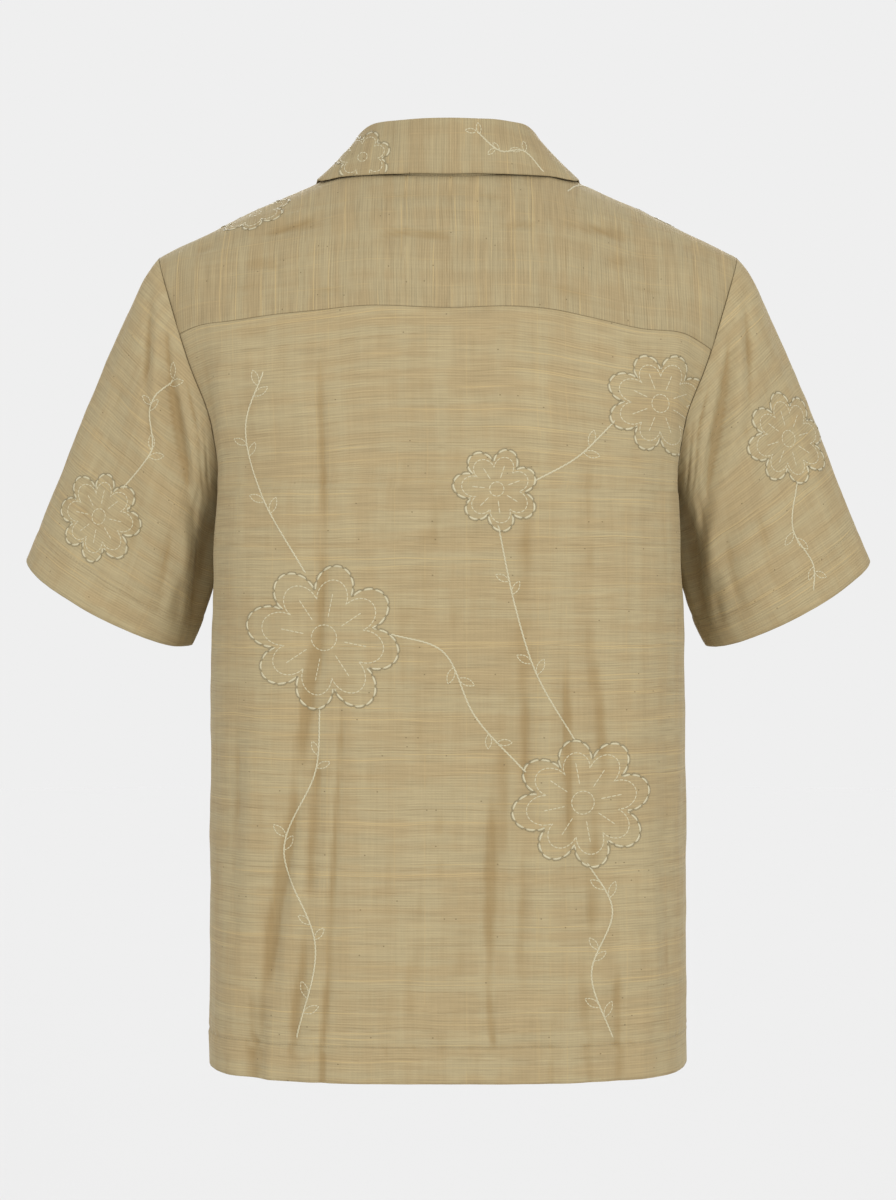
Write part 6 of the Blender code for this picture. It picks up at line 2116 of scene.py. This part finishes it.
@dataclass(frozen=True)
class Studio:
    """A pale floor, an even pale surround, soft suns and the camera behind the shirt."""

    surround: str = "#EFEFEF"
    floor_height: float = -1.35
    floor_radius: float = 12.0
    # The paint's tone that looks as bright as the surround under these suns
    paint_tone: float = 0.6865127
    camera_place: tuple[float, float, float] = (0.0, 2.05, -0.344)
    lens: float = 77.9
    # Name, heading of the light in degrees from the camera's side, height in degrees, strength and softness
    suns: tuple[tuple[str, float, float, float, float], ...] = (
        ("key_softbox", -30, 8, 1.72, 34), ("fill_softbox", 36, 8, 1.16, 40), ("far_softbox", 180, 20, 2.3, 44),
    )

    def _towards(self, heading: float, height: float) -> Vector:
        """The direction in which a light stands."""
        turn, rise = math.radians(heading), math.radians(height)
        return Vector((math.sin(turn) * math.cos(rise), math.cos(turn) * math.cos(rise), math.sin(rise)))

    def _floor(self) -> Object:
        """A round floor with fine grain in its paint."""
        turns = np.linspace(0, 2 * math.pi, 96, endpoint=False)
        rim = np.stack([np.cos(turns) * self.floor_radius, np.sin(turns) * self.floor_radius], axis=1)
        mesh = bpy.data.meshes.new("floor")
        mesh.from_pydata([(x, y, self.floor_height) for x, y in rim.tolist()], [], [range(len(turns))])
        material, shader, add = new_material("matt_painted_board")
        noise = add("TexNoise", {}, {"Vector": add("TexCoord").outputs["Object"], "Scale": 3.0, "Detail": 2.0})
        tone = add("MapRange", {}, {0: noise, 3: 0.997, 4: 1.003})
        feed(shader, {
            "Base Color": add("VectorMath", {"operation": "SCALE"}, {0: [self.paint_tone] * 3, 3: tone}),
            "Roughness": 0.95, "Specular IOR Level": 0.0,
        })
        mesh.materials.append(material)
        return add_object("floor", mesh)

    def build(self) -> None:
        """Sets up the floor, the surround, the lights and the camera."""
        scene = bpy.context.scene
        scene.view_settings.view_transform = "Standard"
        self._floor()
        scene.world = bpy.data.worlds.new("pale_surround")
        scene.world.use_nodes = True
        feed(scene.world.node_tree.nodes["Background"], {"Color": linear(self.surround)})
        for name, heading, height, strength, softness in self.suns:
            lamp = bpy.data.lights.new(name, "SUN")
            lamp.energy, lamp.angle = strength, math.radians(softness)
            light = add_object(name, lamp)
            towards = self._towards(heading, height)
            light.location, light.rotation_euler = towards * 3, towards.to_track_quat("Z", "Y").to_euler()
        lens = bpy.data.cameras.new("camera")
        lens.lens, lens.sensor_width = self.lens, 36.0
        scene.camera = add_object("camera", lens)
        scene.camera.location = self.camera_place
        scene.camera.rotation_euler = Vector((0, 1, 0)).to_track_quat("Z", "Y").to_euler()


# Putting it together


def main() -> None:
    """Builds the shirt piece by piece."""
    logging.basicConfig(level=logging.INFO, format="%(message)s")
    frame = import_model()
    LOG.info("frame has %d nodes", len(frame["nodes"]))
    Studio().build()
    shirt = Shirt()
    turned = CollarAndLapels(shirt)
    sides = ((shirt.left, "left"), (shirt.right, "right"))
    pieces = [shirt.back(), shirt.yoke()]
    pieces += [shirt.front(seams, f"front_{word}") for seams, word in sides]
    pieces += [shirt.sleeve(seams, f"sleeve_{word}") for seams, word in sides]
    pieces += [turned.lapel(seams, f"lapel_{word}") for seams, word in sides]
    pieces.append(turned.collar())
    cloth = SlubbedWeave().make()
    # The same cloth turned by a quarter, as on the yoke and collar, in a darker copy: painted shade for the
    # little less light that the turned weave gives back
    turned_shaded_cloth = SlubbedWeave("slubbed_cotton_linen_weave_turned_shaded", tone=0.612).make()
    faces: dict[str, ClothFace] = {}
    made: dict[str, Object] = {}
    for piece in pieces:
        node = piece.name
        faces[node] = ClothFace(piece)
        piece.name = f"{node}_cloth"
        made[node] = piece.build(turned_shaded_cloth if node in ("yoke", "collar") else cloth)
        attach(made[node], "root")
        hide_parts(node)
        LOG.info("%s: %d faces", piece.name, len(made[node].data.polygons))
    cream = TwistedThread("cream_mercerised_thread", "#B5AC8E", "#8C8263").make()
    olive = TwistedThread("olive_mercerised_thread", "#857857", "#5E5439").make()
    tan = TwistedThread("tan_sewing_thread", "#8C7D5A", "#65583B", ply=0.6 * MM).make()
    for node in dict.fromkeys(design.piece for design in DESIGNS):
        pale, dark = Needlework(f"{node}_cream_embroidery"), Needlework(f"{node}_olive_embroidery")
        for design in DESIGNS:
            if design.piece == node:
                design.stitch(faces[node], pale, dark)
        for work, finish in ((pale, cream), (dark, olive)):
            if work.count:
                stitched = work.build(finish)
                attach(stitched, "root")
                LOG.info("%s: %d faces", work.name, len(stitched.data.polygons))
    sewing = Needlework("sewing_threads")
    fine = Stitch(length=2.3, gap=0.7, width=0.42, height=0.2, sink=0.02, arch=0.0, rings=4)
    stitched_height = shirt.form.hem_height + shirt.cutting.hem_depth
    for node in ("back", "front_left", "front_right"):
        index = int(np.argmin(np.abs(faces[node].grid[5, :, 2] - stitched_height)))
        sewing.sew(faces[node].row(index, 0.7 * MM), fine)
    for node in ("sleeve_left", "sleeve_right"):
        sewing.sew(faces[node].row(SLEEVE_STITCH_ROW, 0.7 * MM), fine)
    buttons = Buttons()
    buttons.sew_on(shirt.form, faces["front_left"], sewing)
    threads = sewing.build(tan)
    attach(threads, "root")
    for index, button in enumerate(buttons.build(shirt.form, Corozo().make())):
        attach(button, "root")
        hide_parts(f"button_{index + 1}")


if __name__ == "__main__":
    main()
